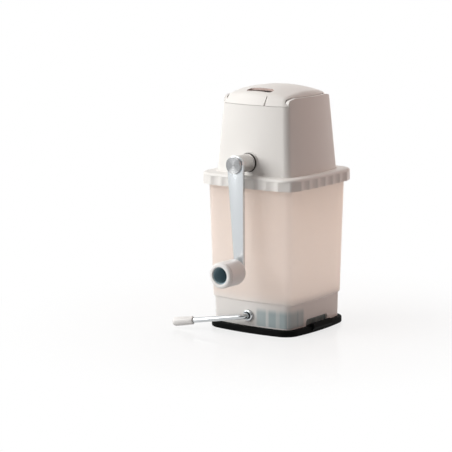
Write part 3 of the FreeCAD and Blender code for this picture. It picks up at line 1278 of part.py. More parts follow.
def lid_scoop(body):
    """Finger scoop behind the front edge, with its own floor under the dome."""
    floor = make_sketch(body, offset="fit.scoop_z")
    rectangle(floor, "-dim.scoop_half - 1", "-dim.scoop_front - 0.8", "dim.scoop_half + 1",
              "-dim.scoop_back + 2", "dim.scoop_corner")
    pad(body, floor, "dim.lid_wall", backwards=True)
    scoop = make_sketch(body, offset="fit.lid_top")
    rectangle(scoop, "-dim.scoop_half", "-dim.scoop_front", "dim.scoop_half", "-dim.scoop_back", "dim.scoop_corner")
    cut(body, scoop, "dim.scoop_floor")


def lid_latch(body):
    """Tapered slit beside the latch's tongue in the front side."""
    slit = make_sketch(body, "XZ_Plane", "dim.hopper_top_half + dim.hopper_bulge + 2")
    at, foot, tip = "dim.slit_at", "dim.slit_width / 2", "dim.slit_tip / 2"
    low, top = "fit.rim_under - 1", "fit.seam_z + dim.slit_height"
    outline(slit, ((f"{at} - {foot}", low), (f"{at} + {foot}", low), (f"{at} + {tip}", top),
                   (f"{at} - {tip}", top)))
    cut(body, slit, "dim.hopper_top_half + dim.hopper_bulge + 4 - fit.hollow_top_half")


def lid_hinge(body):
    """Centre knuckle on a web from the rear side."""
    foot, inside = "fit.lid_foot_z", "dim.hopper_top_half + dim.hopper_bulge - 5"
    web = make_sketch(body, "YZ_Plane")
    outline(web, ((inside, foot), ("fit.knuckle_y", foot), ("fit.knuckle_y", "fit.knuckle_z + dim.knuckle_dia / 2"),
                  (inside, f"{foot} + 6")))
    pad(body, web, "dim.lid_knuckle", both_ways=True)
    knuckle = make_sketch(body, "YZ_Plane")
    circle(knuckle, "dim.knuckle_dia / 2", "fit.knuckle_y", "fit.knuckle_z")
    pad(body, knuckle, "dim.lid_knuckle", both_ways=True)
    bore = make_sketch(body, "YZ_Plane")
    circle(bore, "dim.pin_dia / 2 + dim.pin_fit", "fit.knuckle_y", "fit.knuckle_z")
    cut(body, bore, "dim.lid_knuckle + 2", both_ways=True)


def lid():
    body = make_body("lid")
    lid_blank(body)
    lid_inside(body)
    lid_scoop(body)
    lid_latch(body)
    lid_hinge(body)
    return body


def lid_pin():
    radius, half = "dim.pin_dia / 2", "fit.pin_length / 2"
    body = turned_piece("lid_pin", (("0", f"-({half})"), (radius, f"-({half})", "0.4"), (radius, half, "0.4"),
                                    ("0", half)))
    return place(body, y="fit.knuckle_y", z="fit.knuckle_z", rotation=Rotation(Vector(0, 1, 0), 90))


# ---------------------------------------------------------------- assembly

def build():
    pieces = [
        suction_pad(), container(), base_insert(), lever_ferrule(),
        square_of_screws("base_screws", "fit.insert_under", "dim.foot_screw_at",
                         "dim.insert_plate + dim.foot_screw_bite"),
        suction_lever(), lever_grip(), lever_cam(), lever_clip(), pull_stud(),
        collar(), hopper_housing(), ice_comb("comb_left", -1), ice_comb("comb_right", 1), comb_screws(),
        square_of_screws("collar_screws", "fit.deck_under", "dim.deck_screw_at",
                         "dim.deck_thickness + dim.deck_screw_bite"),
        front_bushing(), rear_bushing(),
        drive_shaft(), *rotor(),
        on_shaft(open_ring("rotor_circlip", "dim.tail_dia / 2 - dim.clip_groove + dim.press_gap",
                           "dim.circlip_dia / 2", "dim.circlip_thickness"), "-fit.rotor_half"),
        crank_ring("hub_washer", "dim.washer_dia / 2", "dim.journal_dia / 2 + 0.2",
                   "fit.seat_y + dim.washer_gap", "fit.hub_back", "0.3"),
        crank_ring("crank_hub", "dim.hub_dia / 2", "dim.journal_dia / 2 + dim.press_gap",
                   "fit.hub_back", "fit.arm_back", "0.5"),
        crank_arm(), crank_cap(), knob_bolt(), knob_washer(), knob(), knob_lining(),
        lid(), lid_pin(),
    ]
    doc.recompute()
    return pieces


def check(pieces):
    for item in doc.Objects:
        if "Invalid" in item.State or "Error" in item.State:
            raise RuntimeError(f"{item.Label} failed: {item.State}")
    for piece in pieces:
        if piece.Shape.isNull() or not piece.Shape.isValid():
            raise RuntimeError(f"{piece.Label} has no valid shape")


def write(pieces):
    os.makedirs("parts", exist_ok=True)
    for piece in pieces:
        piece.Shape.exportStep(os.path.join("parts", f"{piece.Label}.step"))
        box = piece.Shape.BoundBox
        print(f"{piece.Label:18s} solids {len(piece.Shape.Solids)}  volume {piece.Shape.Volume:10.1f}"
              f"  z {box.ZMin:7.2f} to {box.ZMax:7.2f}")


fill_sheets()
PIECES = build()
check(PIECES)
write(PIECES)
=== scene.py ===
import math

import bmesh
import bpy
from mathutils import Matrix, Quaternion, Vector


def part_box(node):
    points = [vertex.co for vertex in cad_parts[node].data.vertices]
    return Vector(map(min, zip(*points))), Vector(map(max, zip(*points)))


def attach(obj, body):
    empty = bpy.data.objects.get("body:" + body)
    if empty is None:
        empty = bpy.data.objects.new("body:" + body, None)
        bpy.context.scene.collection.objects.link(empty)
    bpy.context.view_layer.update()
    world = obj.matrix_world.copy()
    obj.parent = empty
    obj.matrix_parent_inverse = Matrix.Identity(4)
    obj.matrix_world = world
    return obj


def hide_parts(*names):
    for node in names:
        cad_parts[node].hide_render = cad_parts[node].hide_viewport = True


bl_info = {
    "name": "Ice Crusher",
    "version": (1, 0, 0),
    "blender": (4, 5, 0),
    "location": "View3D > Sidebar > Ice Crusher",
    "description": "Dresses a hand-cranked ice crusher with its pieces, finishes and studio",
    "category": "Object",
}

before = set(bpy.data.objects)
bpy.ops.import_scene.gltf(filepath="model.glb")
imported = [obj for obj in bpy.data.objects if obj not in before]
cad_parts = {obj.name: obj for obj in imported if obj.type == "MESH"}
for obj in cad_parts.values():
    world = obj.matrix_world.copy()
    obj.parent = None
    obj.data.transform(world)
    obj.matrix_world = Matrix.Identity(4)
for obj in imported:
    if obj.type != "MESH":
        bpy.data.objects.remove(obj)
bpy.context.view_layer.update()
MM = 0.001
FORWARD = Matrix.Rotation(math.radians(90), 4, "X")


# ---------------------------------------------------------------- the frame's nodes

def box_of(node):
    """Lowest and highest corner of a CAD node."""
    low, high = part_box(node)
    return Vector(low), Vector(high)


def middle_of(node):
    low, high = box_of(node)
    return (low + high) / 2


def round_size(node):
    """Radius and length of a CAD node that is turned about Y."""
    low, high = box_of(node)
    return (high.z - low.z) / 2, high.y - low.y


def seat(node, axis=None):
    """Matrix that turns a form's Z forward and puts its origin at a node's back, on a node's axis."""
    centre = middle_of(axis or node)
    return Matrix.Translation((centre.x, box_of(node)[1].y, centre.z)) @ FORWARD


# ---------------------------------------------------------------- settings

def colour(hex_code):
    """Linear RGBA of an sRGB hex code such as "f2efe9"."""
    channels = [int(hex_code[i:i + 2], 16) / 255 for i in (0, 2, 4)]
    linear = [c / 12.92 if c <= 0.04045 else ((c + 0.055) / 1.055) ** 2.4 for c in channels]
    return (*linear, 1.0)


def colour_setting(name, description, hex_code):
    return bpy.props.FloatVectorProperty(name=name, description=description, default=colour(hex_code),
                                         subtype="COLOR", size=4, min=0.0, max=1.0)


def length_setting(name, description, default):
    return bpy.props.FloatProperty(name=name, description=description, default=default, min=0.0,
                                   subtype="DISTANCE", unit="LENGTH", precision=5)


def angle_setting(name, description, degrees):
    return bpy.props.FloatProperty(name=name, description=description, default=math.radians(degrees),
                                   subtype="ANGLE", unit="ROTATION")


def power_setting(name, description, watts):
    return bpy.props.FloatProperty(name=name, description=description, default=watts, min=0.0,
                                   subtype="POWER", unit="POWER")


def plain_setting(name, description, default, least=0.0):
    return bpy.props.FloatProperty(name=name, description=description, default=default, min=least)


class CrusherColours(bpy.types.PropertyGroup):
    """Tones of the finishes"""
    housing: colour_setting("Housing", "White ABS of the hopper, lid and collar", "efedea")
    cup: colour_setting("Cup", "Milky polypropylene of the cup", "fcfaf8")
    # Painted light: the cup is painted warmer towards its rim, for the glow of light coming through it.
    cup_top_painted_light: colour_setting("Cup top", "Warmer tone of the cup towards its rim", "fffaf6")
    # Painted shade: the insert's ribs are painted on the foot as they look through the milky wall.
    cup_painted_ribs: colour_setting("Cup over ribs", "Foot of the cup where the insert's ribs show", "bccbce")
    insert: colour_setting("Insert", "Blue-grey moulding inside the foot", "8fa6ab")
    pad: colour_setting("Pad", "Black rubber of the suction pad", "060707")
    steel: colour_setting("Steel", "Ground stainless steel", "c9ccce")
    arm: colour_setting("Arm", "Satin plated steel of the crank arm", "d3d7da")
    hub: colour_setting("Hub", "Silver lacquer of the crank's hub", "d6d3d1")
    knob: colour_setting("Knob", "White ABS of the knob", "f4f3f2")
    # Painted shade and reflection: the lining's slate blue-grey stands in for the shade and bluish
    # reflection deep in the knob's bore.
    lining: colour_setting("Lining", "Slate nylon_painted_shade inside the knob", "93abb4")
    # Painted shade: the darker tone of the lid's scoop floor stands in for the shade in the recess.
    scoop: colour_setting("Scoop", "Shaded floor of the lid's finger scoop", "c6b3ad")
    bounce: colour_setting("Table's bounce", "Tone that the table throws back on the object", "bcbcbc")


class CrusherSizes(bpy.types.PropertyGroup):
    """Sizes of the pieces that stand for CAD nodes"""
    knob_rim: length_setting("Knob rim", "Rounding of the knob's front edge", 0.0026)
    knob_back: length_setting("Knob back", "Rounding of the knob's back edge", 0.0065)
    knob_lip: length_setting("Knob lip", "Knob's front edge to its groove", 0.0036)
    groove_width: length_setting("Groove width", "Width of the knob's groove", 0.0010)
    groove_depth: length_setting("Groove depth", "Depth of the knob's groove", 0.0007)
    mouth: length_setting("Mouth", "Radius of the opening in the knob", 0.0093)
    bore: length_setting("Bore", "Radius of the knob's hole for its bolt", 0.00356)
    web: length_setting("Web", "Solid back of the knob", 0.0090)
    mouth_edge: length_setting("Mouth edge", "Rounding of the knob's opening", 0.0008)
    lining_wall: length_setting("Lining wall", "Wall of the knob's lining", 0.0011)
    lining_back: length_setting("Lining set back", "Lining behind the knob's front", 0.0014)
    lining_fillet: length_setting("Lining fillet", "Rounding in the bottom of the lining", 0.0012)
    journal: length_setting("Journal", "Radius of the shaft in the hub", 0.0060)
    hub_band: length_setting("Hub band", "Full-width band at the back of the hub", 0.0022)
    hub_slope: length_setting("Hub slope", "Length of the slope in front of that band", 0.0004)
    hub_relief: length_setting("Hub relief", "Hub in front of the band, narrower by this", 0.0003)
    hub_edge: length_setting("Hub edge", "Rounding of the hub's front", 0.0006)
    arm_head: length_setting("Arm head", "Radius of the arm at the hub", 0.0102)
    arm_foot: length_setting("Arm foot", "Radius of the arm at the knob", 0.0056)
    arm_edge: length_setting("Arm edge", "Rounding of the arm's edges", 0.0006)
    cap_edge: length_setting("Cap edge", "Rounding of the cap's rim", 0.0007)
    cap_taper: length_setting("Cap taper", "Height of the chamfer at the cap's back", 0.0006)
    cap_floor: length_setting("Cap floor", "Depth of the hollow behind the cap", 0.0015)
    cap_dish: length_setting("Cap dish", "Hollow in the middle of the cap's face", 0.00045)
    cap_blend: length_setting("Cap blend", "Rounding of that hollow", 0.0010)
    rod: length_setting("Rod", "Radius of the lever's rod", 0.00285)
    rod_bend: length_setting("Rod bend", "Bend of the rod's centre line", 0.0075)
    bend_corner: length_setting("Bend corner", "Corner of the bend in front of the crusher's axis", 0.06238)
    lever_reach: length_setting("Lever reach", "Rod from the bend's corner to its end", 0.0760)
    grip_start: length_setting("Grip start", "Grip from the bend's corner", 0.0590)
    grip_length: length_setting("Grip length", "Length of the grip", 0.0240)
    grip: length_setting("Grip", "Radius of the grip", 0.0048)
    grip_end: length_setting("Grip end", "Rounding of the grip's far end", 0.0030)
    grip_mouth: length_setting("Grip mouth", "Rounding of the grip's near end", 0.0009)
    grip_blend: length_setting("Grip blend", "Rounding where the grip reaches its full width", 0.0040)
    ferrule_collar: length_setting("Ferrule collar", "Length of the ferrule's collar", 0.0030)
    ferrule_dome: length_setting("Ferrule dome", "Rounding of the ferrule's collar", 0.0014)
    ferrule_step: length_setting("Ferrule step", "Collar past the ferrule's tube", 0.0016)
    ferrule_play: length_setting("Ferrule play", "Gap round the rod in the ferrule", 0.00055)
    ferrule_flare: length_setting("Ferrule flare", "Width of the funnel in the ferrule's mouth", 0.0009)
    flare_depth: length_setting("Flare depth", "Depth of that funnel", 0.0012)
    lever_height: length_setting("Lever height", "Height of the lever's axis", 0.0186)
    lever_splay: angle_setting("Lever splay", "Turn of the lever away from the cup", 15.0)
    lever_drop: angle_setting("Lever drop", "Fall of the lever below level", 8.5)


class CrusherStage(bpy.types.PropertyGroup):
    """Camera, lights and room"""
    distance: length_setting("Camera distance", "Camera to the aimed point", 2.2245)
    aim_height: length_setting("Aim height", "Height of the aimed point", 0.10845)
    azimuth: angle_setting("Azimuth", "Camera's turn about the vertical", 34.77)
    elevation: angle_setting("Elevation", "Camera's height angle", 9.98)
    aside: angle_setting("Aside", "Turn of the camera away from the object", 1.432)
    lens: plain_setting("Lens", "Focal length in millimetres for a 36 mm sensor", 162.27, 10.0)
    key: power_setting("Key light", "Power of the large light on the left", 36.0)
    fill: power_setting("Fill light", "Power of the light on the right", 3.0)
    back: power_setting("Back light", "Power of the light that shows through the cup", 21.0)
    overhead: power_setting("Overhead light", "Power of the light over the lid", 9.0)
    light_aim: length_setting("Light aim", "Height that the lights are aimed at", 0.12)
    surround: plain_setting("Surround", "Strength of the world on the object", 0.14)
    room: plain_setting("Room", "Brightness of the dark end of the room in reflections", 0.14)
    table: length_setting("Table", "Half side of the table", 15.0)


# ---------------------------------------------------------------- materials

# Bands of the ribs, painted on the foot with their shade as they look through the milky wall: place along
# the stretch they are seen on, as a share of it, and how dark the band is.
RIB_STRETCH = 0.100
RIB_BANDS = (
    (0.055, 0.0), (0.085, 0.85), (0.185, 0.9), (0.203, 0.35), (0.222, 0.4), (0.240, 1.0), (0.320, 1.0),
    (0.335, 0.6), (0.370, 0.65), (0.390, 1.0), (0.475, 0.95), (0.487, 0.35), (0.505, 0.8), (0.640, 0.75),
    (0.660, 1.0), (0.690, 0.7), (0.755, 0.75), (0.790, 0.0),
)
# Heights between which the bands fade out at the insert's top and at the foot's lower edge.
RIB_TOP = (0.022, 0.030)
RIB_FOOT = (0.0078, 0.0088)
# Heights between which the cup's floor stops the light, and between which the cup's colour is painted
# warmer towards its rim, a painted glow of the light coming through it.
CUP_FLOOR = (0.0335, 0.042)
CUP_PAINTED_LIGHT = (0.035, 0.165)
# The lid's scoop seen from above, where painted shade darkens its floor: middle, half sizes and corner
# radius.
SCOOP_SHADE = ((0.0, -0.0309), (0.01605, 0.00515), 0.004)


def add_node(material, kind, settings=None, **inputs):
    """Add a node with attribute settings and inputs, each a value or a socket to link from."""
    tree = material.node_tree
    node = tree.nodes.new(kind)
    for name, value in (settings or {}).items():
        setattr(node, name, value)
    for name, value in inputs.items():
        label = name.replace("_", " ")
        socket = node.inputs[int(name[1:])] if name[0] == "i" and name[1:].isdigit() else node.inputs[label]
        if isinstance(value, bpy.types.NodeSocket):
            tree.links.new(value, socket)
        else:
            socket.default_value = value
    return node


def new_material(name):
    material = bpy.data.materials.new(name)
    material.use_nodes = True
    material.node_tree.nodes.clear()
    return material


def finish_material(material, **inputs):
    """Principled surface with the given inputs."""
    shader = add_node(material, "ShaderNodeBsdfPrincipled", None, **inputs)
    add_node(material, "ShaderNodeOutputMaterial", None, Surface=shader.outputs["BSDF"])
    return material


def object_point(material, stretch=(1, 1, 1), offset=(0, 0, 0)):
    """Object coordinates, shifted and then stretched per axis."""
    where = add_node(material, "ShaderNodeTexCoord")
    shift = [along * scale for along, scale in zip(offset, stretch)]
    return add_node(material, "ShaderNodeMapping", None, Vector=where.outputs["Object"], Scale=stretch,
                    Location=shift).outputs[0]


def noise(material, point, size_mm, detail=2.0, roughness=0.5):
    """Noise whose features are about size_mm across."""
    return add_node(material, "ShaderNodeTexNoise", None, Vector=point, Scale=1000.0 / size_mm,
                    Detail=detail, Roughness=roughness).outputs["Fac"]


def between(material, factor, low, high, start=0.0, end=1.0):
    """Value that goes from low to high as a factor goes from start to end."""
    return add_node(material, "ShaderNodeMapRange", None, Value=factor, From_Min=start, From_Max=end,
                    To_Min=low, To_Max=high).outputs[0]


def eased(material, factor, low, high, start, end):
    """The same, with a smooth step at both ends."""
    return add_node(material, "ShaderNodeMapRange", {"interpolation_type": "SMOOTHSTEP"}, Value=factor,
                    From_Min=start, From_Max=end, To_Min=low, To_Max=high).outputs[0]


def maths(material, operation, first, second):
    """Result of an operation on two numbers."""
    return add_node(material, "ShaderNodeMath", {"operation": operation}, i0=first, i1=second).outputs[0]


def vector_maths(material, operation, first, second=(0.0, 0.0, 0.0)):
    """Result of an operation on vectors, which is a number for a length or a dot product."""
    node = add_node(material, "ShaderNodeVectorMath", {"operation": operation}, i0=first, i1=second)
    return node.outputs["Value" if operation in ("LENGTH", "DOT_PRODUCT") else "Vector"]


def mixed(material, factor, first, second):
    """Mix two colours."""
    node = add_node(material, "ShaderNodeMix", {"data_type": "RGBA"}, i0=factor, i6=first, i7=second)
    return node.outputs[2]


def mixed_value(material, factor, first, second):
    """Mix two numbers."""
    return add_node(material, "ShaderNodeMix", None, i0=factor, i2=first, i3=second).outputs[0]


def mixed_shader(material, factor, first, second):
    return add_node(material, "ShaderNodeMixShader", None, i0=factor, i1=first, i2=second).outputs[0]


def bump(material, height, depth_mm, strength=1.0):
    return add_node(material, "ShaderNodeBump", None, Height=height, Distance=depth_mm * MM,
                    Strength=strength).outputs[0]


def darker(tone, share):
    return tuple(c * share for c in tone[:3]) + (1.0,)


def inside_slot(material, point, centre, half, corner):
    """1 inside an upright slot with rounded corners, 0 outside it."""
    away = vector_maths(material, "SUBTRACT", point, (*centre, 0.0))
    level = vector_maths(material, "MULTIPLY", away, (1.0, 1.0, 0.0))
    size = vector_maths(material, "ABSOLUTE", level)
    past = vector_maths(material, "SUBTRACT", size, (half[0] - corner, half[1] - corner, 0.0))
    over = vector_maths(material, "MAXIMUM", past)
    return maths(material, "LESS_THAN", vector_maths(material, "LENGTH", over), corner)


def moulded_abs(name, tone, rough=0.42, scoop_painted_shade=None):
    """Injection-moulded ABS: even colour, a soft gloss and a faint orange peel in its reflections.

    With a tone for its scoop, the finger scoop's floor is painted that darker tone, as painted shade in the
    recess.
    """
    material = new_material(name)
    point = object_point(material)
    cloud = noise(material, point, 45.0, 3.0)
    peel = noise(material, point, 4.0, 0.0)
    base = mixed(material, cloud, darker(tone, 0.96), tone)
    if scoop_painted_shade:
        # Painted shade: the scoop's floor takes the darker tone.
        base = mixed(material, inside_slot(material, point, *SCOOP_SHADE), base, scoop_painted_shade)
    return finish_material(
        material, Base_Color=base, IOR=1.53, Specular_IOR_Level=0.35,
        Roughness=between(material, noise(material, point, 12.0), rough - 0.04, rough + 0.06),
        Normal=bump(material, peel, 0.008))


def painted_ribs_through_wall(material, point):
    """How strongly the insert's ribs, painted on with their shade, show through the foot: 0 where the wall
    is plain, 1 over a rib.
    """
    place = add_node(material, "ShaderNodeSeparateXYZ", None, Vector=point).outputs
    # X + Y grows along both sides of the near corner, from -half to half of the stretch that is seen.
    along = maths(material, "ADD", place["X"], place["Y"])
    share = between(material, along, 0.0, 1.0, -RIB_STRETCH / 2, RIB_STRETCH / 2)
    bands = add_node(material, "ShaderNodeValToRGB", None, Fac=share)
    ramp = bands.color_ramp
    ramp.elements[0].color = ramp.elements[1].color = (0.0, 0.0, 0.0, 1.0)
    for position, level in RIB_BANDS:
        ramp.elements.new(position).color = (level, level, level, 1.0)
    # They end at the insert's top and short of the foot's lower edge, which stays light.
    below = eased(material, place["Z"], 1.0, 0.0, *RIB_TOP)
    above = eased(material, place["Z"], 0.0, 1.0, *RIB_FOOT)
    return maths(material, "MULTIPLY", bands.outputs["Color"], maths(material, "MULTIPLY", below, above))


def milky_polypropylene(tone, painted_light_top, behind):
    """Thin moulded polypropylene: milky, so that light comes through softly. The insert's ribs behind its
    foot, with their shade, and a glow towards its top are painted into its colour.
    """
    material = new_material("milky polypropylene, moulded")
    point = object_point(material)
    height = add_node(material, "ShaderNodeSeparateXYZ", None, Vector=point).outputs["Z"]
    # Painted light: the colour turns warmer towards the rim, for the glow of light coming through the cup.
    painted_light_rise = between(material, height, 0.0, 1.0, *CUP_PAINTED_LIGHT)
    cloud = noise(material, point, 24.0, 4.0, 0.6)
    frost_and_painted_light = mixed(material, cloud, mixed(material, painted_light_rise, tone, painted_light_top), darker(tone, 0.985))
    # Painted shade: the insert's ribs are painted into the foot's colour as they look through the milky
    # wall.
    shade = mixed(material, painted_ribs_through_wall(material, point), frost_and_painted_light, behind)
    shell = add_node(
        material, "ShaderNodeBsdfPrincipled", None, Base_Color=shade, IOR=1.49,
        Roughness=between(material, noise(material, point, 9.0), 0.30, 0.40),
        Normal=bump(material, noise(material, point, 3.0, 1.0), 0.006)).outputs["BSDF"]
    glow = add_node(material, "ShaderNodeBsdfTranslucent", None, Color=shade).outputs[0]
    # The foot has the insert behind it and passes less light than the cup above the floor.
    passed = eased(material, height, 0.3, 0.78, *CUP_FLOOR)
    add_node(material, "ShaderNodeOutputMaterial", None,
             Surface=mixed_shader(material, passed, shell, glow))
    return material


def moulded_polypropylene(tone):
    """Plain moulded polypropylene: even, waxy and nearly matt."""
    material = new_material("blue-grey polypropylene, moulded")
    point = object_point(material)
    return finish_material(
        material, Base_Color=mixed(material, noise(material, point, 20.0), darker(tone, 0.9), tone),
        Roughness=0.5, IOR=1.49, Normal=bump(material, noise(material, point, 0.9), 0.01))


def moulded_rubber(tone):
    """Moulded nitrile rubber: almost black, matt, with a fine grain that greys its highlights."""
    material = new_material("nitrile rubber, moulded")
    point = object_point(material)
    grain = noise(material, point, 0.7, 3.0)
    return finish_material(
        material, Base_Color=mixed(material, noise(material, point, 18.0), darker(tone, 0.8), tone),
        Roughness=between(material, grain, 0.6, 0.8), IOR=1.52, Specular_IOR_Level=0.07,
        Normal=bump(material, grain, 0.03))


def chrome_plate():
    """Decorative chrome on polished steel: mirror bright with hairline wiping marks."""
    material = new_material("chrome plate, polished")
    point = object_point(material)
    return finish_material(
        material, Base_Color=colour("c2c5c7"), Metallic=1.0,
        Roughness=between(material, noise(material, point, 6.0, 4.0), 0.05, 0.11))


def spun_chrome():
    """Chrome on a turned cap: the tool's fine rings draw its highlights out into spokes."""
    material = new_material("chrome plate on turned steel")
    point = object_point(material, offset=-middle_of("crank_cap"))
    # Tool marks of 0.1 mm are drawn 0.4 mm wide so that they show.
    rings = add_node(material, "ShaderNodeTexWave", {"wave_type": "RINGS", "rings_direction": "Y"},
                     Vector=point, Scale=400.0, Distortion=0.4, Detail=1.0).outputs["Fac"]
    around = add_node(material, "ShaderNodeTangent", {"direction_type": "RADIAL", "axis": "Y"}).outputs[0]
    return finish_material(
        material, Base_Color=colour("a4a5a6"), Metallic=1.0, Anisotropic=0.85, Anisotropic_Rotation=0.25,
        Tangent=around, Roughness=between(material, rings, 0.22, 0.3),
        Normal=bump(material, rings, 0.004))


def brushed_steel(name, tone, along, rough=0.3):
    """Stainless steel, ground along one axis: fine lines that stretch its highlights across them."""
    material = new_material(name)
    # Grit lines of 0.1 mm are drawn 0.35 mm wide so that they show.
    stretch = tuple(0.02 if axis == along else 1.0 for axis in "XYZ")
    lines = noise(material, object_point(material, stretch), 0.35, 2.0)
    cloud = noise(material, object_point(material), 25.0)
    return finish_material(
        material, Base_Color=mixed(material, cloud, darker(tone, 0.93), tone), Metallic=1.0,
        Roughness=between(material, lines, rough - 0.06, rough + 0.08), Normal=bump(material, lines, 0.004))


def zinc_plate():
    """Zinc plate on turned steel: bluish grey with a slightly cloudy lustre."""
    material = new_material("zinc plate, passivated")
    point = object_point(material)
    tone = colour("b9bcbd")
    return finish_material(
        material, Base_Color=mixed(material, noise(material, point, 3.0, 3.0), darker(tone, 0.85), tone),
        Metallic=1.0, Roughness=between(material, noise(material, point, 1.5), 0.28, 0.42))


def cast_zinc():
    """Die-cast zinc: dull grey skin with a slight cast grain."""
    material = new_material("zinc alloy, die cast")
    point = object_point(material)
    tone = colour("8e9193")
    grain = noise(material, point, 0.8, 3.0)
    return finish_material(
        material, Base_Color=mixed(material, noise(material, point, 8.0), darker(tone, 0.85), tone),
        Metallic=1.0, Roughness=between(material, grain, 0.42, 0.6), Normal=bump(material, grain, 0.02))


def silver_lacquer(tone):
    """Silver lacquer on a turned plastic hub: satin, with its flakes as a faint sparkle."""
    material = new_material("silver lacquer on acetal")
    point = object_point(material)
    flakes = noise(material, point, 0.4, 1.0)
    return finish_material(
        material, Base_Color=mixed(material, flakes, darker(tone, 0.85), tone), Metallic=0.9,
        Roughness=between(material, flakes, 0.22, 0.3), IOR=1.5, Normal=bump(material, flakes, 0.003))


def turned_acetal(name, tone, rough=0.36):
    """Turned acetal: slightly waxy, with fine tool marks round its axis."""
    material = new_material(name)
    point = object_point(material, (0.05, 1.0, 0.05))
    marks = noise(material, point, 0.5, 1.0)
    cloud = noise(material, object_point(material), 10.0)
    return finish_material(
        material, Base_Color=mixed(material, cloud, darker(tone, 0.92), tone),
        Roughness=between(material, marks, rough - 0.05, rough + 0.08), IOR=1.48,
        Normal=bump(material, marks, 0.006))


MATERIALS = {}


def make_materials(tones):
    MATERIALS.update({
        "housing": moulded_abs("white ABS, moulded", tones.housing),
        "lid": moulded_abs("white ABS, moulded with a grained scoop", tones.housing, 0.42, tones.scoop),
        "cup": milky_polypropylene(tones.cup, tones.cup_top_painted_light, tones.cup_painted_ribs),
        "insert": moulded_polypropylene(tones.insert),
        "pad": moulded_rubber(tones.pad),
        "chrome": chrome_plate(),
        "cap": spun_chrome(),
        "arm": brushed_steel("satin plated steel, ground lengthwise", tones.arm, "Z", 0.2),
        "steel": brushed_steel("stainless steel, ground", tones.steel, "X"),
        "zinc": zinc_plate(),
        "cast": cast_zinc(),
        "hub": silver_lacquer(tones.hub),
        "bushing": turned_acetal("natural acetal, turned", colour("dad7cd")),
        "knob": moulded_abs("white ABS of the knob, moulded", tones.knob, 0.34),
        # Painted shade and reflection: the lining's tone stands in for the shaded, bluish depth of the
        # bore.
        "lining": turned_acetal("slate nylon, moulded", tones.lining, 0.3),
        "seal": moulded_rubber(colour("3d3a38")),
    })


# The material of each CAD node; discs and spacers are in finish_of.
FINISHES = {
    "suction_pad": "pad", "container": "cup", "base_insert": "insert", "lever_ferrule": "chrome",
    "base_screws": "zinc", "suction_lever": "chrome", "lever_grip": "knob", "lever_cam": "cast",
    "lever_clip": "zinc", "pull_stud": "cast", "collar": "housing", "hopper_housing": "housing",
    "comb_left": "steel", "comb_right": "steel", "comb_screws": "zinc", "collar_screws": "zinc",
    "front_bushing": "bushing", "rear_bushing": "bushing", "lid_pin": "zinc", "lid": "lid",
    "drive_shaft": "steel", "rotor_circlip": "zinc", "hub_washer": "seal", "crank_hub": "hub",
    "crank_arm": "arm", "crank_cap": "cap", "knob_bolt": "zinc", "knob_washer": "zinc",
    "knob": "knob", "knob_lining": "lining",
}


def finish_of(node):
    if node.startswith("crusher_disc"):
        return "steel"
    if node.startswith("rotor_spacer"):
        return "bushing"
    return FINISHES[node]


class CRUSHER_OT_finishes(bpy.types.Operator):
    """Give every solid of the frame its material"""
    bl_idname = "crusher.finishes"
    bl_label = "Finishes"

    def execute(self, context):
        make_materials(context.scene.crusher_colours)
        for name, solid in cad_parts.items():
            solid.data.materials.clear()
            solid.data.materials.append(MATERIALS[finish_of(name)])
        return {"FINISHED"}


# ---------------------------------------------------------------- making pieces

# A steeper edge than this keeps its crease.
SHARP = math.radians(32)
# Gap between a pressed piece and its seat.
HAIR = 0.00003
# How far a vertex may lie from the ring it belongs to.
NEAR = 2e-6
# Roundings of edges that are only broken.
CRISP, FINE, BROKEN, SOFT, ROUND = 0.0001, 0.0002, 0.0003, 0.0004, 0.0005


def finished_piece(name, form, material, body, *nodes):
    """Object of a finished form that stands for CAD nodes and moves with their body."""
    bmesh.ops.remove_doubles(form, verts=form.verts[:], dist=1e-7)
    bmesh.ops.recalc_face_normals(form, faces=form.faces[:])
    for face in form.faces:
        face.smooth = True
    mesh = bpy.data.meshes.new(name)
    form.to_mesh(mesh)
    form.free()
    mesh.set_sharp_from_angle(angle=SHARP)
    mesh.materials.append(MATERIALS[material])
    piece = bpy.data.objects.new(name, mesh)
    bpy.context.scene.collection.objects.link(piece)
    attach(piece, body)
    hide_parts(*nodes)
    return piece


def ring_edges(form, radius, height):
    """Edges of the ring at one radius and height of a turned form."""
    def on_ring(vertex):
        out = math.hypot(vertex.co.x, vertex.co.y)
        return abs(out - radius) < NEAR and abs(vertex.co.z - height) < NEAR
    return [edge for edge in form.edges if all(on_ring(vertex) for vertex in edge.verts)]


def bevel(form, edges, size, segments=4):
    bmesh.ops.bevel(form, geom=edges, offset=size, offset_type="OFFSET", affect="EDGES", segments=segments,
                    profile=0.5, material=-1, clamp_overlap=True)


def turned(rings, steps=96):
    """Form turned about Z from rings given as (radius, height) or (radius, height, rounding)."""
    form = bmesh.new()
    corners = [form.verts.new((ring[0], 0, ring[1])) for ring in rings]
    for first, second in zip(corners, corners[1:] + corners[:1]):
        form.edges.new((first, second))
    bmesh.ops.spin(form, geom=form.verts[:] + form.edges[:], axis=(0, 0, 1), cent=(0, 0, 0),
                   dvec=(0, 0, 0), angle=2 * math.pi, steps=steps, use_merge=True, use_duplicate=False)
    bmesh.ops.remove_doubles(form, verts=form.verts[:], dist=1e-6)
    for radius, height, *rounding in rings:
        if rounding:
            bevel(form, ring_edges(form, radius, height), rounding[0])
    return form


def move(form, matrix):
    bmesh.ops.transform(form, matrix=matrix, verts=form.verts[:])


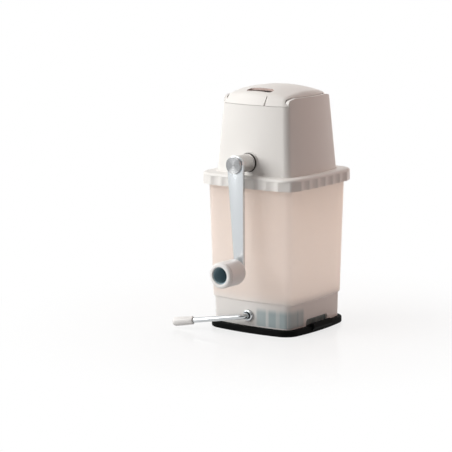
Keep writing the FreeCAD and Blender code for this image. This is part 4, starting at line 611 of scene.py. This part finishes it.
class CRUSHER_OT_knob(bpy.types.Operator):
    """Make the knob with its lip and groove, and the lining of its bore"""
    bl_idname = "crusher.knob"
    bl_label = "Knob"

    def execute(self, context):
        sizes = context.scene.crusher_sizes
        radius, length = round_size("knob")
        lip, waist = length - sizes.knob_lip, radius - sizes.groove_depth
        back = lip - sizes.groove_width
        body = turned((
            (sizes.bore, 0), (radius, 0, sizes.knob_back), (radius, back, BROKEN), (waist, back, FINE),
            (waist, lip, FINE), (radius, lip, BROKEN), (radius, length, sizes.knob_rim),
            (sizes.mouth, length, sizes.mouth_edge), (sizes.mouth, sizes.web), (sizes.bore, sizes.web)))
        move(body, seat("knob"))
        finished_piece("knob_shell", body, "knob", "knob", "knob")
        outer, inner = sizes.mouth - HAIR, sizes.mouth - sizes.lining_wall
        end, floor = length - sizes.lining_back, sizes.web + sizes.lining_wall
        # The lining's tone is painted shade and reflection for the depth of the bore.
        lining = turned((
            (sizes.bore, sizes.web), (outer, sizes.web), (outer, end, BROKEN), (inner, end, SOFT),
            (inner, floor, sizes.lining_fillet), (sizes.bore, floor)))
        move(lining, seat("knob"))
        finished_piece("knob_bore", lining, "lining", "knob", "knob_lining")
        return {"FINISHED"}


class CRUSHER_OT_hub(bpy.types.Operator):
    """Make the crank's hub, the washer behind it and the bright cap in front of the arm"""
    bl_idname = "crusher.hub"
    bl_label = "Hub"

    def execute(self, context):
        sizes = context.scene.crusher_sizes
        journal = sizes.journal
        radius, length = round_size("crank_hub")
        narrow, slope_end = radius - sizes.hub_relief, sizes.hub_band + sizes.hub_slope
        hub = turned((
            (journal, 0), (radius, 0, SOFT), (radius, sizes.hub_band, CRISP), (narrow, slope_end, CRISP),
            (narrow, length, sizes.hub_edge), (journal, length)))
        move(hub, seat("crank_hub"))
        finished_piece("hub_barrel", hub, "hub", "crank", "crank_hub")
        radius, thick = round_size("hub_washer")
        washer = turned(((journal, 0), (radius, 0, BROKEN), (radius, thick, BROKEN), (journal, thick)))
        move(washer, seat("hub_washer", "crank_hub"))
        finished_piece("hub_seal", washer, "seal", "crank", "hub_washer")
        radius, height = round_size("crank_cap")
        cap = turned((
            (journal, 0), (radius - BROKEN, 0, FINE), (radius, sizes.cap_taper, FINE),
            (radius, height, sizes.cap_edge), (radius * 0.9, height - sizes.cap_dish / 3, BROKEN),
            (radius * 0.3, height - sizes.cap_dish * 8 / 9, sizes.cap_blend), (0, height - sizes.cap_dish),
            (0, sizes.cap_floor), (journal, sizes.cap_floor)))
        move(cap, seat("crank_cap", "crank_hub"))
        finished_piece("cap_nut", cap, "cap", "crank", "crank_cap")
        return {"FINISHED"}


class CRUSHER_OT_arm(bpy.types.Operator):
    """Make the flat tapered arm of the crank"""
    bl_idname = "crusher.arm"
    bl_label = "Arm"

    def execute(self, context):
        sizes = context.scene.crusher_sizes
        back, front = (corner.y for corner in box_of("crank_arm"))
        form = bmesh.new()
        for end, radius in (("crank_hub", sizes.arm_head), ("knob", sizes.arm_foot)):
            centre = middle_of(end)
            for depth in (back, front):
                place = Matrix.Translation((centre.x, depth, centre.z)) @ FORWARD
                bmesh.ops.create_circle(form, segments=72, radius=radius, matrix=place)
        hull = bmesh.ops.convex_hull(form, input=form.verts[:])
        left_over = hull["geom_unused"] + hull["geom_interior"]
        loose = [item for item in left_over if isinstance(item, bmesh.types.BMVert)]
        bmesh.ops.delete(form, geom=loose, context="VERTS")
        bmesh.ops.dissolve_limit(form, angle_limit=math.radians(1), verts=form.verts[:],
                                 edges=form.edges[:])
        steep = math.radians(60)
        rims = [edge for edge in form.edges if edge.is_manifold and edge.calc_face_angle() > steep]
        bevel(form, rims, sizes.arm_edge, 3)
        finished_piece("arm_bar", form, "arm", "crank", "crank_arm")
        return {"FINISHED"}


def lever_frame(sizes):
    """Matrix from the lever's own level plane to its place."""
    return Matrix.Translation((0, 0, sizes.lever_height)) @ Matrix.Rotation(-sizes.lever_drop, 4, "Y")


def swept_on(form, edges, vector):
    """Extrude a ring of edges along a vector and give the new ring."""
    new = bmesh.ops.extrude_edge_only(form, edges=edges)["geom"]
    moved = [item for item in new if isinstance(item, bmesh.types.BMVert)]
    bmesh.ops.translate(form, vec=vector, verts=moved)
    added = [item for item in new if isinstance(item, bmesh.types.BMEdge)]
    return [edge for edge in added if all(vertex in moved for vertex in edge.verts)]


class CRUSHER_OT_lever(bpy.types.Operator):
    """Make the bent rod of the suction lever, its grip and the ferrule it comes out of"""
    bl_idname = "crusher.lever"
    bl_label = "Suction lever"

    def execute(self, context):
        sizes = context.scene.crusher_sizes
        tail = box_of("suction_lever")[1].y
        swing = math.radians(90) - sizes.lever_splay
        short = sizes.rod_bend * math.tan(swing / 2)
        way = Vector((-math.cos(sizes.lever_splay), -math.sin(sizes.lever_splay), 0))
        form = bmesh.new()
        bmesh.ops.create_circle(form, segments=40, radius=sizes.rod,
                                matrix=Matrix.Translation((0, tail, 0)) @ FORWARD)
        start = form.edges[:]
        ring = swept_on(form, start, (0, short - sizes.bend_corner - tail, 0))
        turned_on = bmesh.ops.spin(form, geom=ring, axis=(0, 0, 1), dvec=(0, 0, 0), angle=-swing, steps=14,
                                   cent=(-sizes.rod_bend, short - sizes.bend_corner, 0))["geom_last"]
        ring = [item for item in turned_on if isinstance(item, bmesh.types.BMEdge)]
        end = swept_on(form, ring, way * (sizes.lever_reach - short))
        bmesh.ops.holes_fill(form, edges=start + end, sides=0)
        bevel(form, start + end, ROUND, 2)
        move(form, lever_frame(sizes))
        finished_piece("lever_rod", form, "chrome", "lever", "suction_lever")

        bore, outer, length = sizes.rod + HAIR, sizes.grip, sizes.grip_length
        depth = sizes.lever_reach - sizes.grip_start + HAIR
        grip = turned((
            (bore, 0), (outer - BROKEN, 0, sizes.grip_mouth), (outer, length * 0.35, sizes.grip_blend),
            (outer, length, sizes.grip_end), (0, length), (0, depth), (bore, depth)))
        near_end = Matrix.Translation(Vector((0, -sizes.bend_corner, 0)) + way * sizes.grip_start)
        turn = way.to_track_quat("Z", "Y").to_matrix().to_4x4()
        move(grip, lever_frame(sizes) @ near_end @ turn)
        finished_piece("grip_sleeve", grip, "knob", "lever", "lever_grip")
        return {"FINISHED"}


class CRUSHER_OT_ferrule(bpy.types.Operator):
    """Make the bright ferrule in the foot's wall"""
    bl_idname = "crusher.ferrule"
    bl_label = "Ferrule"

    def execute(self, context):
        sizes = context.scene.crusher_sizes
        radius, length = round_size("lever_ferrule")
        collar, tube = length - sizes.ferrule_collar, radius - sizes.ferrule_step
        bore = sizes.rod + sizes.ferrule_play
        form = turned((
            (bore, 0), (tube, 0), (tube, collar), (radius, collar, BROKEN),
            (radius, length, sizes.ferrule_dome), (bore + sizes.ferrule_flare, length, ROUND),
            (bore, length - sizes.flare_depth, SOFT)))
        back = box_of("lever_ferrule")[1].y
        move(form, Matrix.Translation((0, back, sizes.lever_height)) @ FORWARD)
        finished_piece("ferrule_ring", form, "chrome", "foot", "lever_ferrule")
        return {"FINISHED"}


# ---------------------------------------------------------------- stage

SENSOR_MM = 36
# How far the camera sees, in metres.
CLIP_END = 50
# Where each light stands, how wide and high it is, and its tint.
LIGHTS = {
    "key": ((-1.2, -1.22, 0.95), (1.7, 1.3), "fffffd"),
    "fill": ((1.15, 1.1, 0.6), (0.8, 0.9), "ffae8e"),
    "back": ((-0.2, 1.75, 0.3), (1.2, 0.9), "fff6ee"),
    "overhead": ((0.15, 0.25, 1.9), (1.2, 1.2), "fffaf6"),
}
# Distances from the object's middle between which the table's own white comes in.
TABLE_FADE = (0.08, 0.34)
# Direction of the dark end of the room, and how nearly a reflection has to face it.
DARK_END = (0.87, -0.49, 0.0)
DARK_FADE = (0.35, 0.8)


def area_light(name, place, aim, size, power, tint):
    data = bpy.data.lights.new(name, "AREA")
    data.shape = "RECTANGLE"
    data.size, data.size_y = size
    data.energy = power
    data.color = colour(tint)[:3]
    light = bpy.data.objects.new(name, data)
    light.location = place
    light.rotation_euler = (aim - Vector(place)).to_track_quat("-Z", "Y").to_euler()
    bpy.context.scene.collection.objects.link(light)
    return light


def floor_material(bounce):
    """Glossy white acrylic table: white to the eye, with a faint reflection and a soft shadow.

    Light that it throws back on the object is greyer, as from a table with dark things round it.
    """
    material = new_material("white acrylic sheet, polished")
    where = add_node(material, "ShaderNodeTexCoord").outputs["Object"]
    ray = add_node(material, "ShaderNodeLightPath").outputs
    far = eased(material, vector_maths(material, "LENGTH", where), 0.74, 1.0, *TABLE_FADE)
    seen = maths(material, "MAXIMUM", ray["Is Camera Ray"], ray["Is Glossy Ray"])
    tone = mixed(material, ray["Is Diffuse Ray"], colour("f4f4f4"), bounce)
    sheet = add_node(material, "ShaderNodeBsdfPrincipled", None, Base_Color=tone, Roughness=0.12,
                     IOR=1.45).outputs[0]
    glow = add_node(material, "ShaderNodeEmission", None, Color=(1, 1, 1, 1), Strength=1.0).outputs[0]
    add_node(material, "ShaderNodeOutputMaterial", None,
             Surface=mixed_shader(material, maths(material, "MULTIPLY", far, seen), sheet, glow))
    return material


def set_world(strength, room):
    """White to the camera and in reflections but for one dark end, with soft warm light on surfaces."""
    world = bpy.data.worlds.new("studio")
    world.use_nodes = True
    world.node_tree.nodes.clear()
    ray = add_node(world, "ShaderNodeLightPath").outputs
    where = add_node(world, "ShaderNodeTexCoord").outputs["Generated"]
    facing = vector_maths(world, "DOT_PRODUCT", where, DARK_END)
    reflected = eased(world, facing, 1.0, room, *DARK_FADE)
    unseen = mixed_value(world, ray["Is Glossy Ray"], strength, reflected)
    seen = maths(world, "MAXIMUM", ray["Is Camera Ray"], ray["Is Transmission Ray"])
    brightness = mixed_value(world, seen, unseen, 1.0)
    tint = mixed(world, ray["Is Diffuse Ray"], colour("ffffff"), colour("ffece6"))
    walls = add_node(world, "ShaderNodeBackground", None, Color=tint, Strength=brightness).outputs[0]
    add_node(world, "ShaderNodeOutputWorld", None, Surface=walls)
    bpy.context.scene.world = world


def place_camera(stage):
    aim = Vector((0, 0, stage.aim_height))
    level = math.cos(stage.elevation)
    around = (math.sin(stage.azimuth) * level, -math.cos(stage.azimuth) * level)
    way = Vector((*around, math.sin(stage.elevation)))
    data = bpy.data.cameras.new("camera")
    data.lens = stage.lens
    data.sensor_width = SENSOR_MM
    data.clip_end = CLIP_END
    camera = bpy.data.objects.new("camera", data)
    camera.location = aim + way * stage.distance
    turn = (-way).to_track_quat("-Z", "Y") @ Quaternion((0, 1, 0), stage.aside)
    camera.rotation_euler = turn.to_euler()
    bpy.context.scene.collection.objects.link(camera)
    bpy.context.scene.camera = camera


class CRUSHER_OT_stage(bpy.types.Operator):
    """Set up the table, the lights, the world and the camera"""
    bl_idname = "crusher.stage"
    bl_label = "Stage"

    def execute(self, context):
        stage = context.scene.crusher_stage
        mesh = bpy.data.meshes.new("table")
        form = bmesh.new()
        bmesh.ops.create_grid(form, x_segments=1, y_segments=1, size=stage.table)
        form.to_mesh(mesh)
        form.free()
        table = bpy.data.objects.new("table", mesh)
        context.scene.collection.objects.link(table)
        mesh.materials.append(floor_material(context.scene.crusher_colours.bounce))
        aim = Vector((0, 0, stage.light_aim))
        for name, (place, size, tint) in LIGHTS.items():
            light = area_light(name, place, aim, size, getattr(stage, name), tint)
            # The back light only shows through the cup: it isn't seen as a patch on the table.
            light.visible_glossy = name != "back"
        set_world(stage.surround, stage.room)
        place_camera(stage)
        context.scene.view_settings.view_transform = "Standard"
        return {"FINISHED"}


# ---------------------------------------------------------------- panel and registration

MAKING = (CRUSHER_OT_finishes, CRUSHER_OT_knob, CRUSHER_OT_hub, CRUSHER_OT_arm, CRUSHER_OT_lever,
          CRUSHER_OT_ferrule, CRUSHER_OT_stage)


class CRUSHER_PT_panel(bpy.types.Panel):
    bl_idname = "CRUSHER_PT_panel"
    bl_label = "Ice Crusher"
    bl_space_type = "VIEW_3D"
    bl_region_type = "UI"
    bl_category = "Ice Crusher"

    def draw(self, context):
        for maker in MAKING:
            self.layout.operator(maker.bl_idname)
        scene = context.scene
        for group in (scene.crusher_colours, scene.crusher_sizes, scene.crusher_stage):
            box = self.layout.box()
            for name in group.__annotations__:
                box.prop(group, name)


CLASSES = (CrusherColours, CrusherSizes, CrusherStage, *MAKING, CRUSHER_PT_panel)


def register():
    for each in CLASSES:
        bpy.utils.register_class(each)
    bpy.types.Scene.crusher_colours = bpy.props.PointerProperty(type=CrusherColours)
    bpy.types.Scene.crusher_sizes = bpy.props.PointerProperty(type=CrusherSizes)
    bpy.types.Scene.crusher_stage = bpy.props.PointerProperty(type=CrusherStage)


def unregister():
    del bpy.types.Scene.crusher_stage
    del bpy.types.Scene.crusher_sizes
    del bpy.types.Scene.crusher_colours
    for each in reversed(CLASSES):
        bpy.utils.unregister_class(each)


def main():
    register()
    for maker in MAKING:
        family, action = maker.bl_idname.split(".")
        getattr(getattr(bpy.ops, family), action)()


if __name__ == "__main__":
    main()
